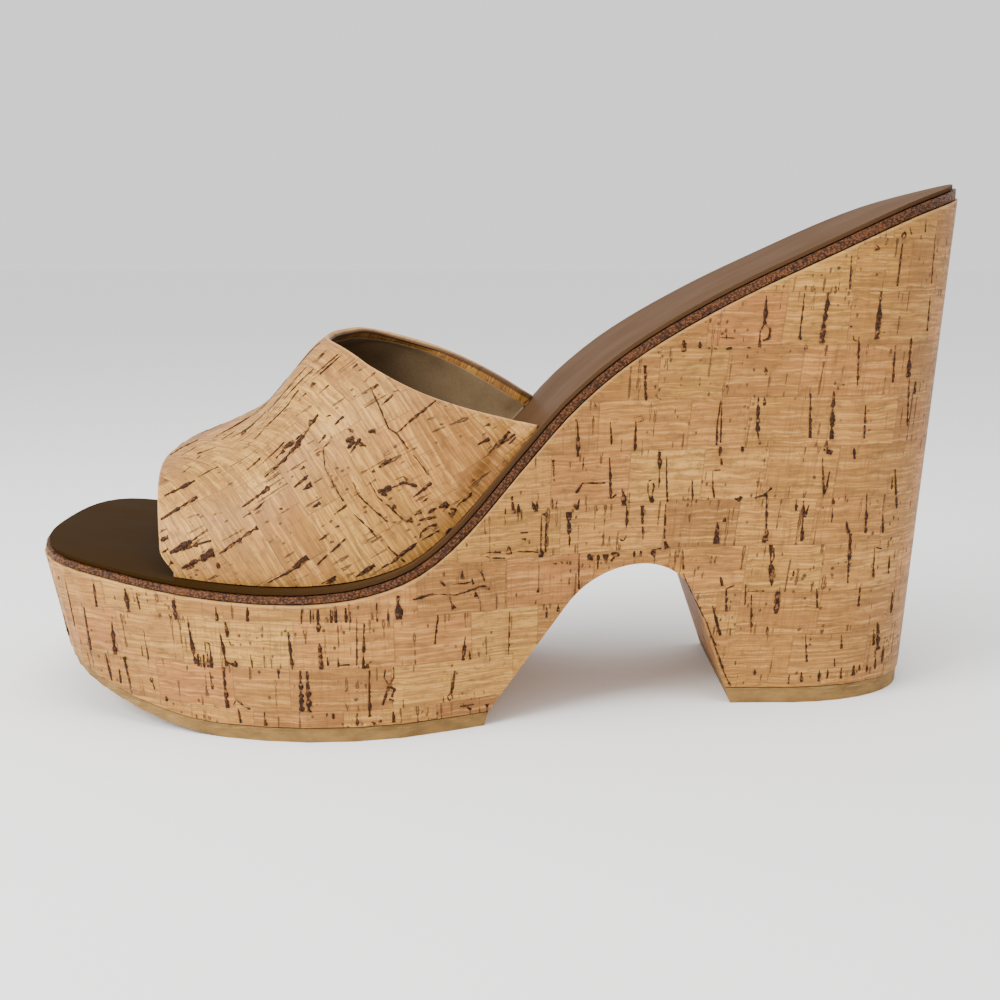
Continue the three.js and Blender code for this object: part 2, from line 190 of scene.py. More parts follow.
finish = Finish("tan_rubber")
sand = finish.noise(finish.place(0.28, 0.28, 0.28), 3.0, 0.6)
cloud = finish.noise(finish.place(9, 9, 4), 4.0, 0.6)
rub = finish.noise(finish.place(7, 3, 0.5, (3, 1, 2)), 4.0, 0.65)
dust = finish.times(finish.spread(rub, 0.5, 0.72),
                    finish.spread(finish.axis(2), SCUFF_LOW, SCUFF_HIGH))
tan = finish.mix(finish.spread(cloud, 0.35, 0.7), shade(*TREAD_TAN), shade(*TREAD_CLOUD))
tan = finish.mix(finish.times(dust, 0.6), tan, shade(*TREAD_DUST))
tan = finish.mix(finish.spread(sand, 0.35, 0.62, 0.0, 0.16), tan, shade(*TREAD_GRIT))
tread_rubber = finish.close(tan, finish.spread(cloud, 0.3, 0.7, 0.62, 0.78),
                            finish.calc("MULTIPLY_ADD", rub, 0.5, sand), 0.05 * MM, 0.5, 0.3)
show(fair_copy("forefoot_tread", TREAD_ROUNDING), "forefoot_tread_rubber", "forefoot_tread",
     tread_rubber)


# ---- Heel tread -----------------------------------------------------------------------------
# The top piece under the heel block: the same rubber, a little thicker, nailed and cemented on
# and trimmed flush with the cork all round.

show(fair_copy("heel_tread", TREAD_ROUNDING), "heel_tread_rubber", "heel_tread",
     tread_rubber)


# ---- Wedge ----------------------------------------------------------------------------------
# A light block from toe to heel, covered with sheet cork: rows of thin cork tiles laid level
# round the whole side and under the arch, glued down, sanded and sealed matt. Small bark flecks
# stand upright in the tiles. The sheet's cut edge shows pale under the footbed.

WEDGE_ROUNDING = 0.45 * MM
ROW_SEAMS = [-3.0, 7.4, 17.6, 28.7, 40.6, 52.1, 64.6, 76.8, 89.0, 101.3, 113.6, 125.8]
ROW_HEIGHT = 11.9
TILE_LENGTH = 21.0
TILE_SALT = 37.37
CORK_TONES = [(0.00, (142, 89, 33)), (0.18, (173, 123, 48)), (0.38, (155, 103, 38)),
              (0.55, (190, 142, 60)), (0.72, (166, 104, 46)), (0.88, (178, 129, 48)),
              (1.00, (128, 78, 31))]
CUT_EDGE_TONE = (198, 156, 98)
# each kind of small fleck: spacing in mm, salt, widest half in mm, fewest and most cells with one
FLECKS = [(5.5, 91.7, 0.40, 0.12, 0.55), (1.9, 53.9, 0.26, 0.10, 0.70)]
CORK_RELIEF, CORK_BUMP, CORK_SPECULAR = 0.14 * MM, 0.8, 0.35
BARK, BARK_PALE = (36, 18, 8), (88, 50, 24)
WEDGE_MIDDLE = Vector((45 * MM, -6 * MM))
LOOP_STEPS = 720
HALVINGS = 22
FAR_OUT, CLEAR = 0.3, 0.2  # metres from the middle, both well outside the shoe
INSIDE_EDGE = 0.05 * MM
CUT_WITHIN = 1e-7
ARCH_FRONT, ARCH_BACK, ARCH_TOP = 36 * MM, 98.5 * MM, 38.5 * MM
ARCH_X, ARCH_Z, ARCH_RADIUS = 68 * MM, 2 * MM, 35 * MM
ARCH_SHEET = (0.75, 0.2)  # its own part of the flat sheet, clear of the side's


def surface(thing):
    """A tree that rays can be sent against, of an object's mesh."""
    mesh = thing.data
    return BVHTree.FromPolygons([v.co for v in mesh.vertices],
                                [tuple(p.vertices) for p in mesh.polygons])


def edge_of(inside, near, far):
    """The last place between near and far, as a number, where the test still holds."""
    for _ in range(HALVINGS):
        middle = (near + far) / 2
        near, far = (middle, far) if inside(middle) else (near, middle)
    return near


wedge_surface = surface(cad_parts["platform"])
down = Vector((0, 0, -1))
loop_reach, loop_top = [], []
for step in range(LOOP_STEPS):
    turn = 2 * math.pi * step / LOOP_STEPS
    way = Vector((math.cos(turn), math.sin(turn)))

    def seen_from_above(reach, way=way):
        spot = WEDGE_MIDDLE + way * reach
        return wedge_surface.ray_cast(Vector((spot.x, spot.y, FAR_OUT)), down)[0]

    reach = edge_of(seen_from_above, 0.0, CLEAR)
    loop_reach.append(reach)
    loop_top.append(seen_from_above(reach - INSIDE_EDGE).z)
loop_reach, loop_top = np.array(loop_reach), np.array(loop_top)
turns = np.arange(LOOP_STEPS + 1) * 2 * math.pi / LOOP_STEPS
loop_xy = np.stack([np.cos(turns), np.sin(turns)], 1)
loop_xy *= np.append(loop_reach, loop_reach[0])[:, None]
loop_length = np.append(0, np.cumsum(np.linalg.norm(np.diff(loop_xy, axis=0), axis=1)))


def round_the_side(turn):
    """How far round the side of the wedge a direction is, in metres, from the back of the heel."""
    laps = math.floor(turn / (2 * math.pi))
    return laps * loop_length[-1] + np.interp(turn - laps * 2 * math.pi, turns, loop_length)


def cork(finish, along, across, row_height, row_start, seed):
    """The colour, relief and roughness of sheet cork whose rows run along, in mm."""

    def grain(length, height, layer, detail=2.0, rough=0.55, across=across):
        """Noise in grains this long along the rows and this high across them, in mm."""
        where = finish.triple(finish.calc("DIVIDE", along, length),
                              finish.calc("DIVIDE", across, height), layer)
        return finish.noise(where, detail, rough)

    level = finish.calc("ADD", grain(26.0, 26.0, seed), finish.less(across, row_start + 0.5))
    level = finish.calc("DIVIDE", level, row_height)
    row = finish.calc("FLOOR", level)
    up = finish.calc("FRACT", level)

    def cells(spacing, salt, feature="F1"):
        """Cells side by side in each row, at random widths about this spacing."""
        where = finish.calc("MULTIPLY_ADD", row, salt + seed, finish.calc("DIVIDE", along, spacing))
        return add_node(finish.tree, "ShaderNodeTexVoronoi", {"W": where, "Scale": 1.0},
                        voronoi_dimensions="1D", feature=feature).outputs

    def lots(cell):
        """Three random numbers for each cell."""
        return add_node(finish.tree, "ShaderNodeSeparateColor", {0: cell["Color"]}).outputs

    tile = lots(cells(TILE_LENGTH, TILE_SALT))
    tile_edge = cells(TILE_LENGTH, TILE_SALT, "DISTANCE_TO_EDGE")["Distance"]
    tile_edge = finish.times(tile_edge, TILE_LENGTH)
    ramp = add_node(finish.tree, "ShaderNodeValToRGB", {0: tile[0]})
    stops = ramp.color_ramp.elements
    while len(stops) < len(CORK_TONES):
        stops.new(0.5)
    for stop, (spot, tone) in zip(stops, CORK_TONES):
        stop.position, stop.color = spot, shade(*tone)
    colour = ramp.outputs[0]

    # wavy growth lines along the tile, dark and pale, and fine comb lines across it
    tile_shift = finish.times(tile[1], 40.0)
    bent = finish.calc("MULTIPLY_ADD", grain(6.0, 3.0, tile_shift), 1.5, across)
    growth = grain(14.0, 0.62, tile_shift, 3.0, 0.6, bent)
    comb = grain(0.5, 9.0, tile_shift, 2.0, 0.6)
    colour = finish.mix(finish.spread(growth, 0.44, 0.60, 0.0, 0.62), colour, shade(108, 70, 26))
    colour = finish.mix(finish.spread(growth, 0.46, 0.32, 0.0, 0.42), colour, shade(214, 172, 100))
    combed = finish.times(finish.spread(comb, 0.5, 0.7),
                          finish.spread(tile[2], 0.3, 0.9, 0.10, 0.55))
    colour = finish.mix(combed, colour, shade(104, 64, 28))

    # reddish clouds and olive blots
    cloud = grain(10.0, 4.0, tile_shift, 3.0)
    colour = finish.mix(finish.spread(cloud, 0.3, 0.7, 0.0, 0.22), colour, shade(190, 126, 66))
    olive = grain(2.6, 1.5, tile_shift, 4.0, 0.7)
    colour = finish.mix(finish.spread(olive, 0.50, 0.68, 0.0, 0.62), colour, shade(104, 72, 28))

    # small bark flecks: upright, from one seam of the row towards the other, thick and thin
    patchy = grain(24.0, 12.0, seed + 5.0)
    ragged = grain(0.9, 1.3, seed, 3.0, 0.65)
    sway = grain(12.0, 4.0, seed + 9.0)

    def flecks(spacing, salt, widest, fewest, most):
        cell = cells(spacing, salt)
        lot = lots(cell)
        aside = finish.calc("MULTIPLY_ADD", sway, 1.6,
                            finish.less(finish.times(cell["Distance"], spacing), 0.8))
        aside = finish.calc("ABSOLUTE", aside)
        run = finish.calc("ABSOLUTE", finish.less(finish.calc("GREATER_THAN", lot[1], 0.5), up))
        reach = finish.calc("MULTIPLY_ADD", finish.calc("POWER", lot[2], 2.0), 0.85, 0.12)
        ends = finish.spread(finish.less(finish.calc("MULTIPLY_ADD", ragged, 0.3, reach), run),
                             0.10, 0.20)
        half = finish.times(finish.calc("MULTIPLY_ADD", ragged, 2.2, -0.62),
                            finish.calc("MULTIPLY_ADD", lot[0], widest, 0.12))
        body = finish.spread(finish.less(half, aside), -0.10, 0.12)
        there = finish.calc("LESS_THAN", finish.calc("FRACT", finish.times(lot[0], 7.31)),
                            finish.spread(patchy, 0.36, 0.66, fewest, most))
        return finish.times(finish.times(ends, body), there)

    marks = finish.calc("MAXIMUM", *(flecks(*kind) for kind in FLECKS))
    crumbs = finish.pebbles(finish.triple(finish.calc("DIVIDE", along, 1.1),
                                          finish.calc("DIVIDE", across, 1.7), seed))
    crumb = finish.times(
        finish.spread(finish.calc("MULTIPLY_ADD", ragged, 0.5, crumbs["Distance"]), 0.62, 0.46),
        finish.calc("LESS_THAN", lots(crumbs)[0], finish.spread(patchy, 0.50, 0.74, 0.02, 0.55)))
    marks = finish.calc("MAXIMUM", marks, finish.times(crumb, 0.85))

    # seams between rows and between tiles
    row_gap = finish.times(finish.calc("MINIMUM", up, finish.less(1.0, up)), row_height)
    gap = finish.calc("MINIMUM", row_gap, tile_edge)
    seam = finish.times(finish.spread(gap, 0.22, 0.06), finish.spread(ragged, 0.3, 0.6, 0.35, 1.0))
    colour = finish.mix(finish.times(seam, 0.38), colour, shade(78, 44, 18))
    halo = finish.times(marks, finish.spread(ragged, 0.65, 0.35, 0.75, 1.0))
    bark = finish.mix(finish.spread(ragged, 0.42, 0.62), shade(*BARK), shade(*BARK_PALE))
    colour = finish.mix(halo, colour, bark)
    relief = finish.calc("MULTIPLY_ADD", growth, 0.35, finish.times(comb, 0.12))
    relief = finish.less(finish.less(relief, marks), finish.times(seam, 0.7))
    roughness = finish.spread(finish.calc("ADD", marks, finish.times(growth, 0.4)),
                              0.1, 1.0, 0.52, 0.78)
    return colour, relief, roughness


def direction(spot):
    """The turn of a place round the wedge's middle, between 0 and 2 pi."""
    return math.atan2(spot.y - WEDGE_MIDDLE.y, spot.x - WEDGE_MIDDLE.x) % (2 * math.pi)


def cut_across(work, place, normal):
    """Cuts edges into the mesh along a plane, so that the flat sheet can turn there."""
    bmesh.ops.bisect_plane(work, geom=work.verts[:] + work.edges[:] + work.faces[:],
                           dist=CUT_WITHIN, plane_co=place, plane_no=normal)


finish = Finish("wedge_sheet_cork")
colour, relief, roughness = cork(finish, *finish.sheet(), ROW_HEIGHT, 0.0, 0.0)
cut_edge = finish.spread(finish.carried("under_board"), 0.75, 0.45)
colour = finish.mix(finish.times(cut_edge, 0.4), colour, shade(*CUT_EDGE_TONE))
wedge_cork = finish.close(colour, roughness, relief, CORK_RELIEF, CORK_BUMP, CORK_SPECULAR)

work = fair_copy("platform", WEDGE_ROUNDING)
cut_across(work, (0, WEDGE_MIDDLE.y, 0), (0, 1, 0))
for seam in ROW_SEAMS[1:-1]:
    cut_across(work, (0, 0, seam * MM), (0, 0, 1))
flat = work.loops.layers.uv.new("sheet")
below = work.verts.layers.float.new("under_board")
for vert in work.verts:
    top = np.interp(direction(vert.co), turns[:-1], loop_top, period=2 * math.pi)
    vert[below] = (top - vert.co.z) * 1000
for face in work.faces:
    middle = face.calc_center_median()
    in_arch = (ARCH_FRONT < middle.x < ARCH_BACK and middle.z < ARCH_TOP
               and abs(face.normal.y) < 0.5)
    home = direction(middle)
    for loop in face.loops:
        spot = loop.vert.co
        if in_arch:
            swing = math.atan2(spot.z - ARCH_Z, spot.x - ARCH_X)
            loop[flat].uv = (ARCH_SHEET[0] + spot.y, ARCH_SHEET[1] + swing * ARCH_RADIUS)
        else:
            turn = math.atan2(spot.y - WEDGE_MIDDLE.y, spot.x - WEDGE_MIDDLE.x)
            turn = home + (turn - home + math.pi) % (2 * math.pi) - math.pi
            row = np.interp(spot.z * 1000, ROW_SEAMS, range(len(ROW_SEAMS)))
            loop[flat].uv = (round_the_side(turn), row * ROW_HEIGHT * MM)
show(work, "wedge_cork_cover", "platform", wedge_cork)


# ---- Bark in the wedge's cork ---------------------------------------------------------------
# Dark bark runs through the sheet in upright streaks, knots and cracks, mostly from one seam of
# a row towards the other. It is sanded off nearly level with the tiles, so its broken face shows.
# Each entry gives a streak's width and then its places on the outer side, along and up, in mm.

OUTER_BARK = [
    (.5, -63.5, 33.5, -62.2, 21.8), (.7, -58.6, 27.5, -57.9, 16.8), (.7, -55.3, 34, -54.9, 28.3),
    (.9, -46.8, 33.8, -46.2, 28.2), (.35, -43.9, 33, -43.2, 29), (1.0, -34.7, 32.4, -34, 27.6),
    (.5, -36, 28.6, -35.4, 28), (.9, -51.2, 24.8, -50.9, 16.8), (.6, -53.7, 16.6, -52.5, 9.8),
    (.7, -47.3, 9.2, -48.5, 16.6), (.5, -50.2, 13.3, -50, 9.4), (.25, -42.7, 24, -41.9, 16.9),
    (.25, -43.6, 20, -43.4, 17.6), (.6, -31.3, 27.3, -30.2, 19.2, -29.8, 17.3),
    (.6, -29.3, 19.8, -29.2, 16.8), (.5, -28.6, 19.2, -28.5, 16.7), (.6, -27.9, 19.8, -27.8, 16.8),
    (.6, -26.9, 20.5, -26.8, 16.8), (.6, -26.1, 20.4, -26.0, 16.8),
    (.25, -27.4, 20, -27.3, 22.8, -26.4, 22.6, -26, 20), (.45, -26.5, 15.8, -26, 11.6),
    (.6, -23.6, 25.2, -22.3, 17.5), (.5, -22.6, 18.4, -20, 17.8), (.5, -20.3, 19, -20.2, 17.3),
    (.6, -22.3, 28, -21.8, 24.2), (.3, -21.7, 24, -21.2, 22.6, -20.4, 22.6),
    (.5, -24.3, 31.5, -24.2, 28.2), (.6, -16.9, 31.8, -17, 28.3), (.85, -23.2, 17.2, -22.5, 7.4),
    (.3, -16.6, 20.5, -16.2, 17.4), (.7, -7.7, 26.2, -6.9, 17.5), (.5, -10.2, 15.2, -10.2, 17.4),
    (.5, -20, 7.2, -19.5, 4), (.5, -13.8, 7, -13.6, 3.9), (.4, -38, 8.5, -37.9, 7.2),
    (.3, -21.2, 8, -20.4, 9.6, -19.3, 8.6, -18.6, 8, -17.2, 7.6), (.4, -32, 16.8, -32, 15.6),
    (.3, -41.9, 12.2, -41.3, 12.6, -41, 11.9, -41.5, 11.4, -41.9, 12.2),
    (.3, -41.2, 11.4, -40.8, 9.8), (.4, -4.5, 31.5, -4.6, 28.3), (.5, -2.5, 31.5, -2.5, 28.3),
    (.3, -1.9, 31.4, -1.9, 28.5), (.8, -.9, 31.7, -.8, 26.3), (.55, 2, 31.6, 2.1, 28.4),
    (.55, 3, 31.6, 3.1, 28.4), (.5, .9, 29.8, 1.1, 28.5), (.6, 5.3, 31.8, 5.4, 28.3),
    (.3, 6.3, 31, 6.4, 28.3), (.3, 7.8, 29.6, 7.6, 18.3), (.5, 9.4, 28.3, 9, 17.6),
    (.6, 9.9, 18.6, 9.8, 17.5), (.35, 12.2, 32.8, 12.3, 28.5), (.4, 14.8, 31.5, 14.7, 28.5),
    (1.1, 17, 34.2, 17.1, 28.7), (.5, 20.3, 33.2, 24.8, 34),
    (.35, 24.9, 34, 29.5, 33.3, 33, 34, 36, 34.8, 37.5, 33.8), (.9, 28.5, 33, 29.4, 30),
    (.5, 26.3, 37, 27.5, 35.7), (.5, 31.4, 39, 31.2, 37), (.3, 29.2, 35.8, 33.3, 36),
    (.5, 33.5, 36.8, 33.9, 35.4), (.6, 34.4, 33.6, 34.4, 32.3), (.3, 35, 39, 36, 37.5, 36.4, 35.8),
    (.9, -.7, 23.8, -.4, 17.6), (.4, 1, 20.4, 1.1, 18.4), (.3, 3.4, 20.3, 3.4, 18),
    (.25, 3.2, 18.3, 6, 18.5), (.85, -5.2, 17.3, -5.1, 7.6), (.85, -3.7, 17.2, -3.4, 7.4),
    (.5, 10.3, 17, 10.2, 5.9), (.5, 15.7, 17.5, 15.8, 15, 14.6, 13, 13.8, 10.5, 13.2, 8.5),
    (.4, 13.8, 17, 13.6, 15, 14.8, 12.9, 15.9, 12, 15.2, 10.3), (.7, 14.6, 9.8, 15.6, 9.2),
    (.7, 32, 23, 31.4, 17.3), (.5, 32.9, 19.3, 33, 17.2), (.4, 25.8, 29.2, 25.1, 22),
    (.45, 29.5, 15, 28.6, 9.4), (.3, 28.6, 9.4, 28.9, 8.2, 28.1, 7.7, 27.8, 8.8, 28.4, 9.4),
    (.5, 2, 5.6, 2.0, 7.1), (.35, .5, 6.3, .6, 7.1), (.45, 7.4, 7, 7.4, 4),
    (.65, 15.5, 6.8, 15.6, 4), (.4, 30.2, 5.8, 34, 5.9), (.5, 32.3, 5.4, 33.2, 4.6),
    (.8, 37, 4.7, 36.9, 5.4), (.25, 42.2, 27.8, 42, 17), (.5, 10.6, 4.6, 11.4, 4),
    (.5, 12, 4.4, 12.8, 4.7), (.55, 52.5, 58.4, 52.2, 63.5), (.7, 57.9, 70, 58, 63.9),
    (.25, 57.6, 72.6, 57.9, 70), (.25, 59.3, 63.6, 59.2, 60.6), (.5, 65.5, 63.3, 66, 53.6),
    (.4, 65.3, 53.7, 66.2, 53.4, 67.3, 54.4), (.35, 59, 57.4, 64.6, 57.3),
    (.4, 59.1, 57.4, 57.6, 55.2), (.7, 42.7, 55.5, 43.1, 51.4), (.6, 44.2, 53.6, 44.2, 51.3),
    (.3, 41.2, 53.4, 41.2, 51.4), (.7, 47.4, 54, 48, 52), (.7, 48.6, 54, 48.3, 51.4),
    (.35, 52, 54.5, 52.2, 51.7), (.35, 53.2, 53.6, 53, 52),
    (.45, 57.5, 52.4, 58.3, 52.2, 58, 51.4, 57.4, 51.8, 57.5, 52.4), (.35, 58.5, 53.8, 58.2, 52.4),
    (1.0, 69, 55, 69.2, 51.5), (.5, 69.9, 51.3, 70, 46), (.3, 70, 44.2, 69.4, 43, 68.4, 43.2),
    (.5, 75, 57.2, 75.8, 57.4, 76.4, 56, 76, 53.6, 76.2, 51.8),
    (.4, 74.9, 56.8, 75, 54.5, 75.8, 52), (.8, 77.6, 60, 77.5, 64.2), (.3, 77.6, 60, 77.6, 55.5),
    (.35, 79.2, 63, 79.5, 55), (.5, 79.5, 55, 79.8, 52), (.6, 74.1, 43, 73.6, 51.3),
    (.4, 79.3, 51.4, 79.3, 43), (.9, 79.4, 42.3, 80, 40.5), (.4, 49.6, 50.6, 49.5, 41),
    (.45, 50.7, 50.6, 50.6, 41.4), (.8, 49.6, 50.8, 51, 50.5), (1.0, 49.6, 42, 49.5, 40.2),
    (1.1, 56.1, 45.4, 56, 50.8), (.9, 55.8, 50.4, 56.2, 46.4), (.35, 56.2, 45.2, 56.3, 42),
    (.3, 35.3, 42, 37, 42.6, 40.2, 42.4), (.3, 36.8, 41.7, 38, 41.2, 41.2, 40.9),
    (.3, 42, 43.8, 41.4, 41.9, 42.8, 41.9, 42.1, 43.4), (.25, 44, 42.3, 49, 41.6),
    (.3, 44.6, 46.7, 46.4, 46.6), (.3, 44.8, 45.2, 46, 45), (1.0, 61, 40.2, 61.2, 38.7),
    (.5, 62, 39.9, 61.8, 38.6), (.5, 63.2, 36.2, 63.2, 39.8), (1.0, 65.2, 37.6, 65, 39.8),
    (.7, 66.3, 39.9, 68.5, 39.4), (.5, 67.4, 39.6, 66.4, 38), (.5, 72, 40.2, 72, 38.7),
    (.5, 73.6, 40.2, 73.6, 38.8), (.8, 77, 38.4, 76.3, 40), (.4, 76.3, 40.2, 78.6, 40.5),
    (.35, 58.6, 39.8, 58.7, 31), (.3, 52.4, 38.6, 53.2, 38.4), (.3, 54.2, 38.8, 54.8, 38.3),
    (.35, 55.8, 39, 55.8, 38.2), (.5, 49, 33, 48.8, 31.8), (.5, 48.5, 30, 48.4, 29),
    (.6, 51, 28, 51, 25.4), (.5, 53.8, 28.4, 53.7, 26.6), (.9, 73.9, 76.4, 73.6, 81),
    (.6, 73.6, 81, 73.4, 84.8), (.3, 76, 77.3, 76.4, 78, 76.6, 77, 77.4, 76.8),
    (.9, 82.4, 90.4, 82.4, 87.6), (.6, 82.9, 89.8, 82.9, 88), (.5, 86.3, 90, 86.3, 88.4),
    (.35, 87.8, 88.5, 88.8, 88.4), (.35, 89.7, 88.5, 90.5, 88.2), (.4, 92.5, 88.1, 94, 88.4),
    (.2, 90.8, 90.9, 94.6, 90.7), (.3, 92.6, 91.6, 92.7, 90.3), (.35, 97.6, 88.4, 98.6, 88.4),
    (.7, 101.8, 100.4, 101.6, 94), (.5, 101.6, 94, 100.7, 92.5, 100.6, 88.5),
    (.5, 101.9, 93.9, 103, 92.6, 102.8, 90.6, 101.4, 90), (.6, 102.3, 83.8, 102.4, 82.6),
    (.35, 91.8, 76.3, 91.2, 70, 91.2, 65.4), (.3, 92.1, 75.6, 92.2, 66), (.7, 92.1, 65, 92.2, 62.8),
    (.35, 92.4, 62.2, 92.6, 60.6), (.8, 97.6, 63.4, 97.6, 64.9),
    (.3, 90.6, 59.2, 90.7, 55, 91.2, 52.5), (.25, 90.6, 59.3, 92.3, 59.4),
    (.5, 71.6, 71.8, 71.5, 64.6), (.2, 71, 72.4, 73, 72.9, 73.6, 71.8, 71.5, 71.2),
    (.3, 65.5, 71.8, 65.9, 66.2), (.4, 62, 76.2, 62, 75), (.7, 100.9, 76.7, 101, 68.5),
    (.4, 101, 68.5, 101.8, 65.4), (.6, 102.4, 76.8, 102.4, 74.6), (.5, 110.8, 101, 110.1, 90.2),
    (.9, 116.5, 101.2, 115.3, 89.3), (.9, 129.5, 101.3, 129, 90.1),
    (.35, 121.5, 109.6, 121.5, 101.8), (.4, 119, 103.5, 118.8, 101.6),
    (.45, 134.3, 113.4, 133.6, 102.5),
    (.4, 134.3, 113.4, 133.8, 114.2, 134.6, 114.9, 135.2, 114, 134.5, 113.4),
    (.25, 140.5, 118, 140.5, 115), (.3, 143.8, 115, 143.8, 103), (.45, 143.8, 101, 143.6, 91.5),
    (.55, 124.5, 90.8, 124.8, 79.2), (.25, 123, 91.4, 123.2, 90, 124.6, 89.6),
    (.45, 134.2, 88.5, 134.2, 79.5), (.6, 134.2, 85.6, 134.1, 83.8), (.9, 138.7, 90, 138.5, 80.6),
    (.5, 139, 80, 139.4, 68.5), (.6, 141, 79.4, 141, 76.4), (.5, 113.4, 77.5, 113.8, 66.7),
    (.8, 119, 78, 119, 66.4), (.5, 127.2, 74.5, 127.4, 66.4), (.7, 111.5, 89, 111.7, 88),
    (.6, 122.1, 93.3, 122.6, 93.1), (.5, 121, 79.6, 121.6, 79.4), (.3, 136, 116, 136.6, 114.6),
    (.25, 127, 112.4, 128.4, 111.2, 127, 110.9), (.35, 85.6, 57.2, 85.9, 52.2),
    (.8, 96.2, 52.3, 97.6, 51.8), (.7, 97.2, 51.4, 97.8, 52.8), (.6, 104, 53, 104.4, 41.6),
    (.9, 103.9, 43, 103.8, 41.2), (.5, 101, 52.4, 103.6, 53, 105.2, 54.8),
    (.6, 111.3, 51.8, 111.3, 49), (.6, 113.1, 47.6, 113, 41.5), (.4, 113, 51.8, 113.2, 47.6),
    (.35, 114.4, 50.4, 113.4, 47.4), (.35, 117, 62, 117.4, 58, 117.8, 53),
    (.35, 119, 58.5, 118.2, 53), (.9, 117.2, 64, 119.4, 63), (.7, 118, 66, 118.3, 62.8),
    (.6, 118, 54, 118, 52.9), (.65, 129, 52.8, 129.3, 42.8), (.6, 133.8, 47, 134.3, 42.2),
    (.6, 136.6, 58, 138, 48), (.35, 136, 56.4, 136, 53), (.6, 124.8, 64, 125.2, 61.4),
    (.7, 124, 46, 124.6, 43), (.65, 125.3, 30.4, 125.3, 43), (.5, 120.3, 52, 120.4, 50.4),
    (.25, 120.3, 49.6, 120.2, 46), (.9, 106.2, 30.2, 105.8, 35.6), (.6, 105.8, 35.6, 105.5, 40.6),
    (.4, 106.3, 39.8, 106.5, 37.2, 105.8, 36), (1.0, 107.6, 29.1, 107.6, 23.2),
    (.6, 108.3, 29.1, 108.2, 25), (.4, 101.3, 28.6, 101.7, 18.2), (.25, 99.8, 30.8, 99.8, 25.5),
    (.3, 100.2, 29, 104.5, 28.9), (.5, 93.4, 32.7, 94, 30.5), (.55, 95, 29.8, 95.3, 24),
    (.3, 95, 29.6, 97, 30.6), (.9, 92.3, 46.6, 92, 41.2), (.6, 94, 47.6, 93.8, 46.6),
    (.3, 84, 39.8, 84.2, 35), (.25, 82, 39.4, 82.2, 37), (.6, 91.8, 25.4, 94, 17.8),
    (.5, 105.6, 19.8, 105.6, 17.9), (.5, 117.4, 29.4, 117.8, 24.5), (.5, 128.8, 29.8, 128.6, 24),
    (.45, 132.2, 39, 132.2, 31), (.3, 132.5, 38.8, 134.4, 38.2), (.4, 136.8, 36, 136.8, 31.5),
    (.55, 138.7, 26, 138.7, 20.6), (.9, 134.6, 19, 135.2, 11.6), (.5, 133.6, 17.4, 133.8, 13),
    (.4, 115.2, 17.5, 115.8, 10.6), (.4, 124.5, 17, 124.6, 13.5), (.6, 123, 11, 123.2, 9),
    (.7, 103, 8.8, 103, 7.4), (.3, 111.6, 7.4, 111.4, 5), (.6, 114.6, 8, 114.7, 5.4),
    (.7, 119.2, 8.2, 119.1, 5.4), (.4, 121.4, 8.4, 121.3, 6), (.7, 125, 8.4, 125, 5.6),
    (.7, 128.4, 8.7, 128.3, 6), (.4, 130, 8.8, 130, 7), (.5, 132.3, 9, 132.2, 6.2),
    (.5, 134.7, 10.8, 134.7, 6.6), (.5, 137, 12.4, 136.8, 8), (.5, 111.5, 34, 111.4, 32.6),
    (.4, 84.3, 34, 85.5, 30, 86.8, 26, 90, 22.3, 92.3, 16.5, 93.7, 12.5, 95.2, 8.4, 97, 4.6)]
BARK_STEP = 0.3 * MM
BARK_PROUD = 0.05 * MM
BARK_GRAIN = 1000 / 1.3  # grains of raggedness to the metre
BARK_RAGGED = 0.5 * MM
BARK_DEPTH = 0.22  # times the streak's width
BARK_SEED = 11
TRACK_STEP = 0.7
SIDE_SLACK = 12 * MM
# random streaks go from the heel's back round the inner side to just past the tip of the toe
FIRST_STREAK, LAST_TURN = 0.002, math.pi * 1.02
CLOSE_SHARE, CLOSE_GAP = 0.25, 1.3
STREAKS_LOW, STREAKS_HIGH, CLEAR_OF_TOP, SHORTEST_STREAK = 4.0, 123.0, 0.4, 0.8


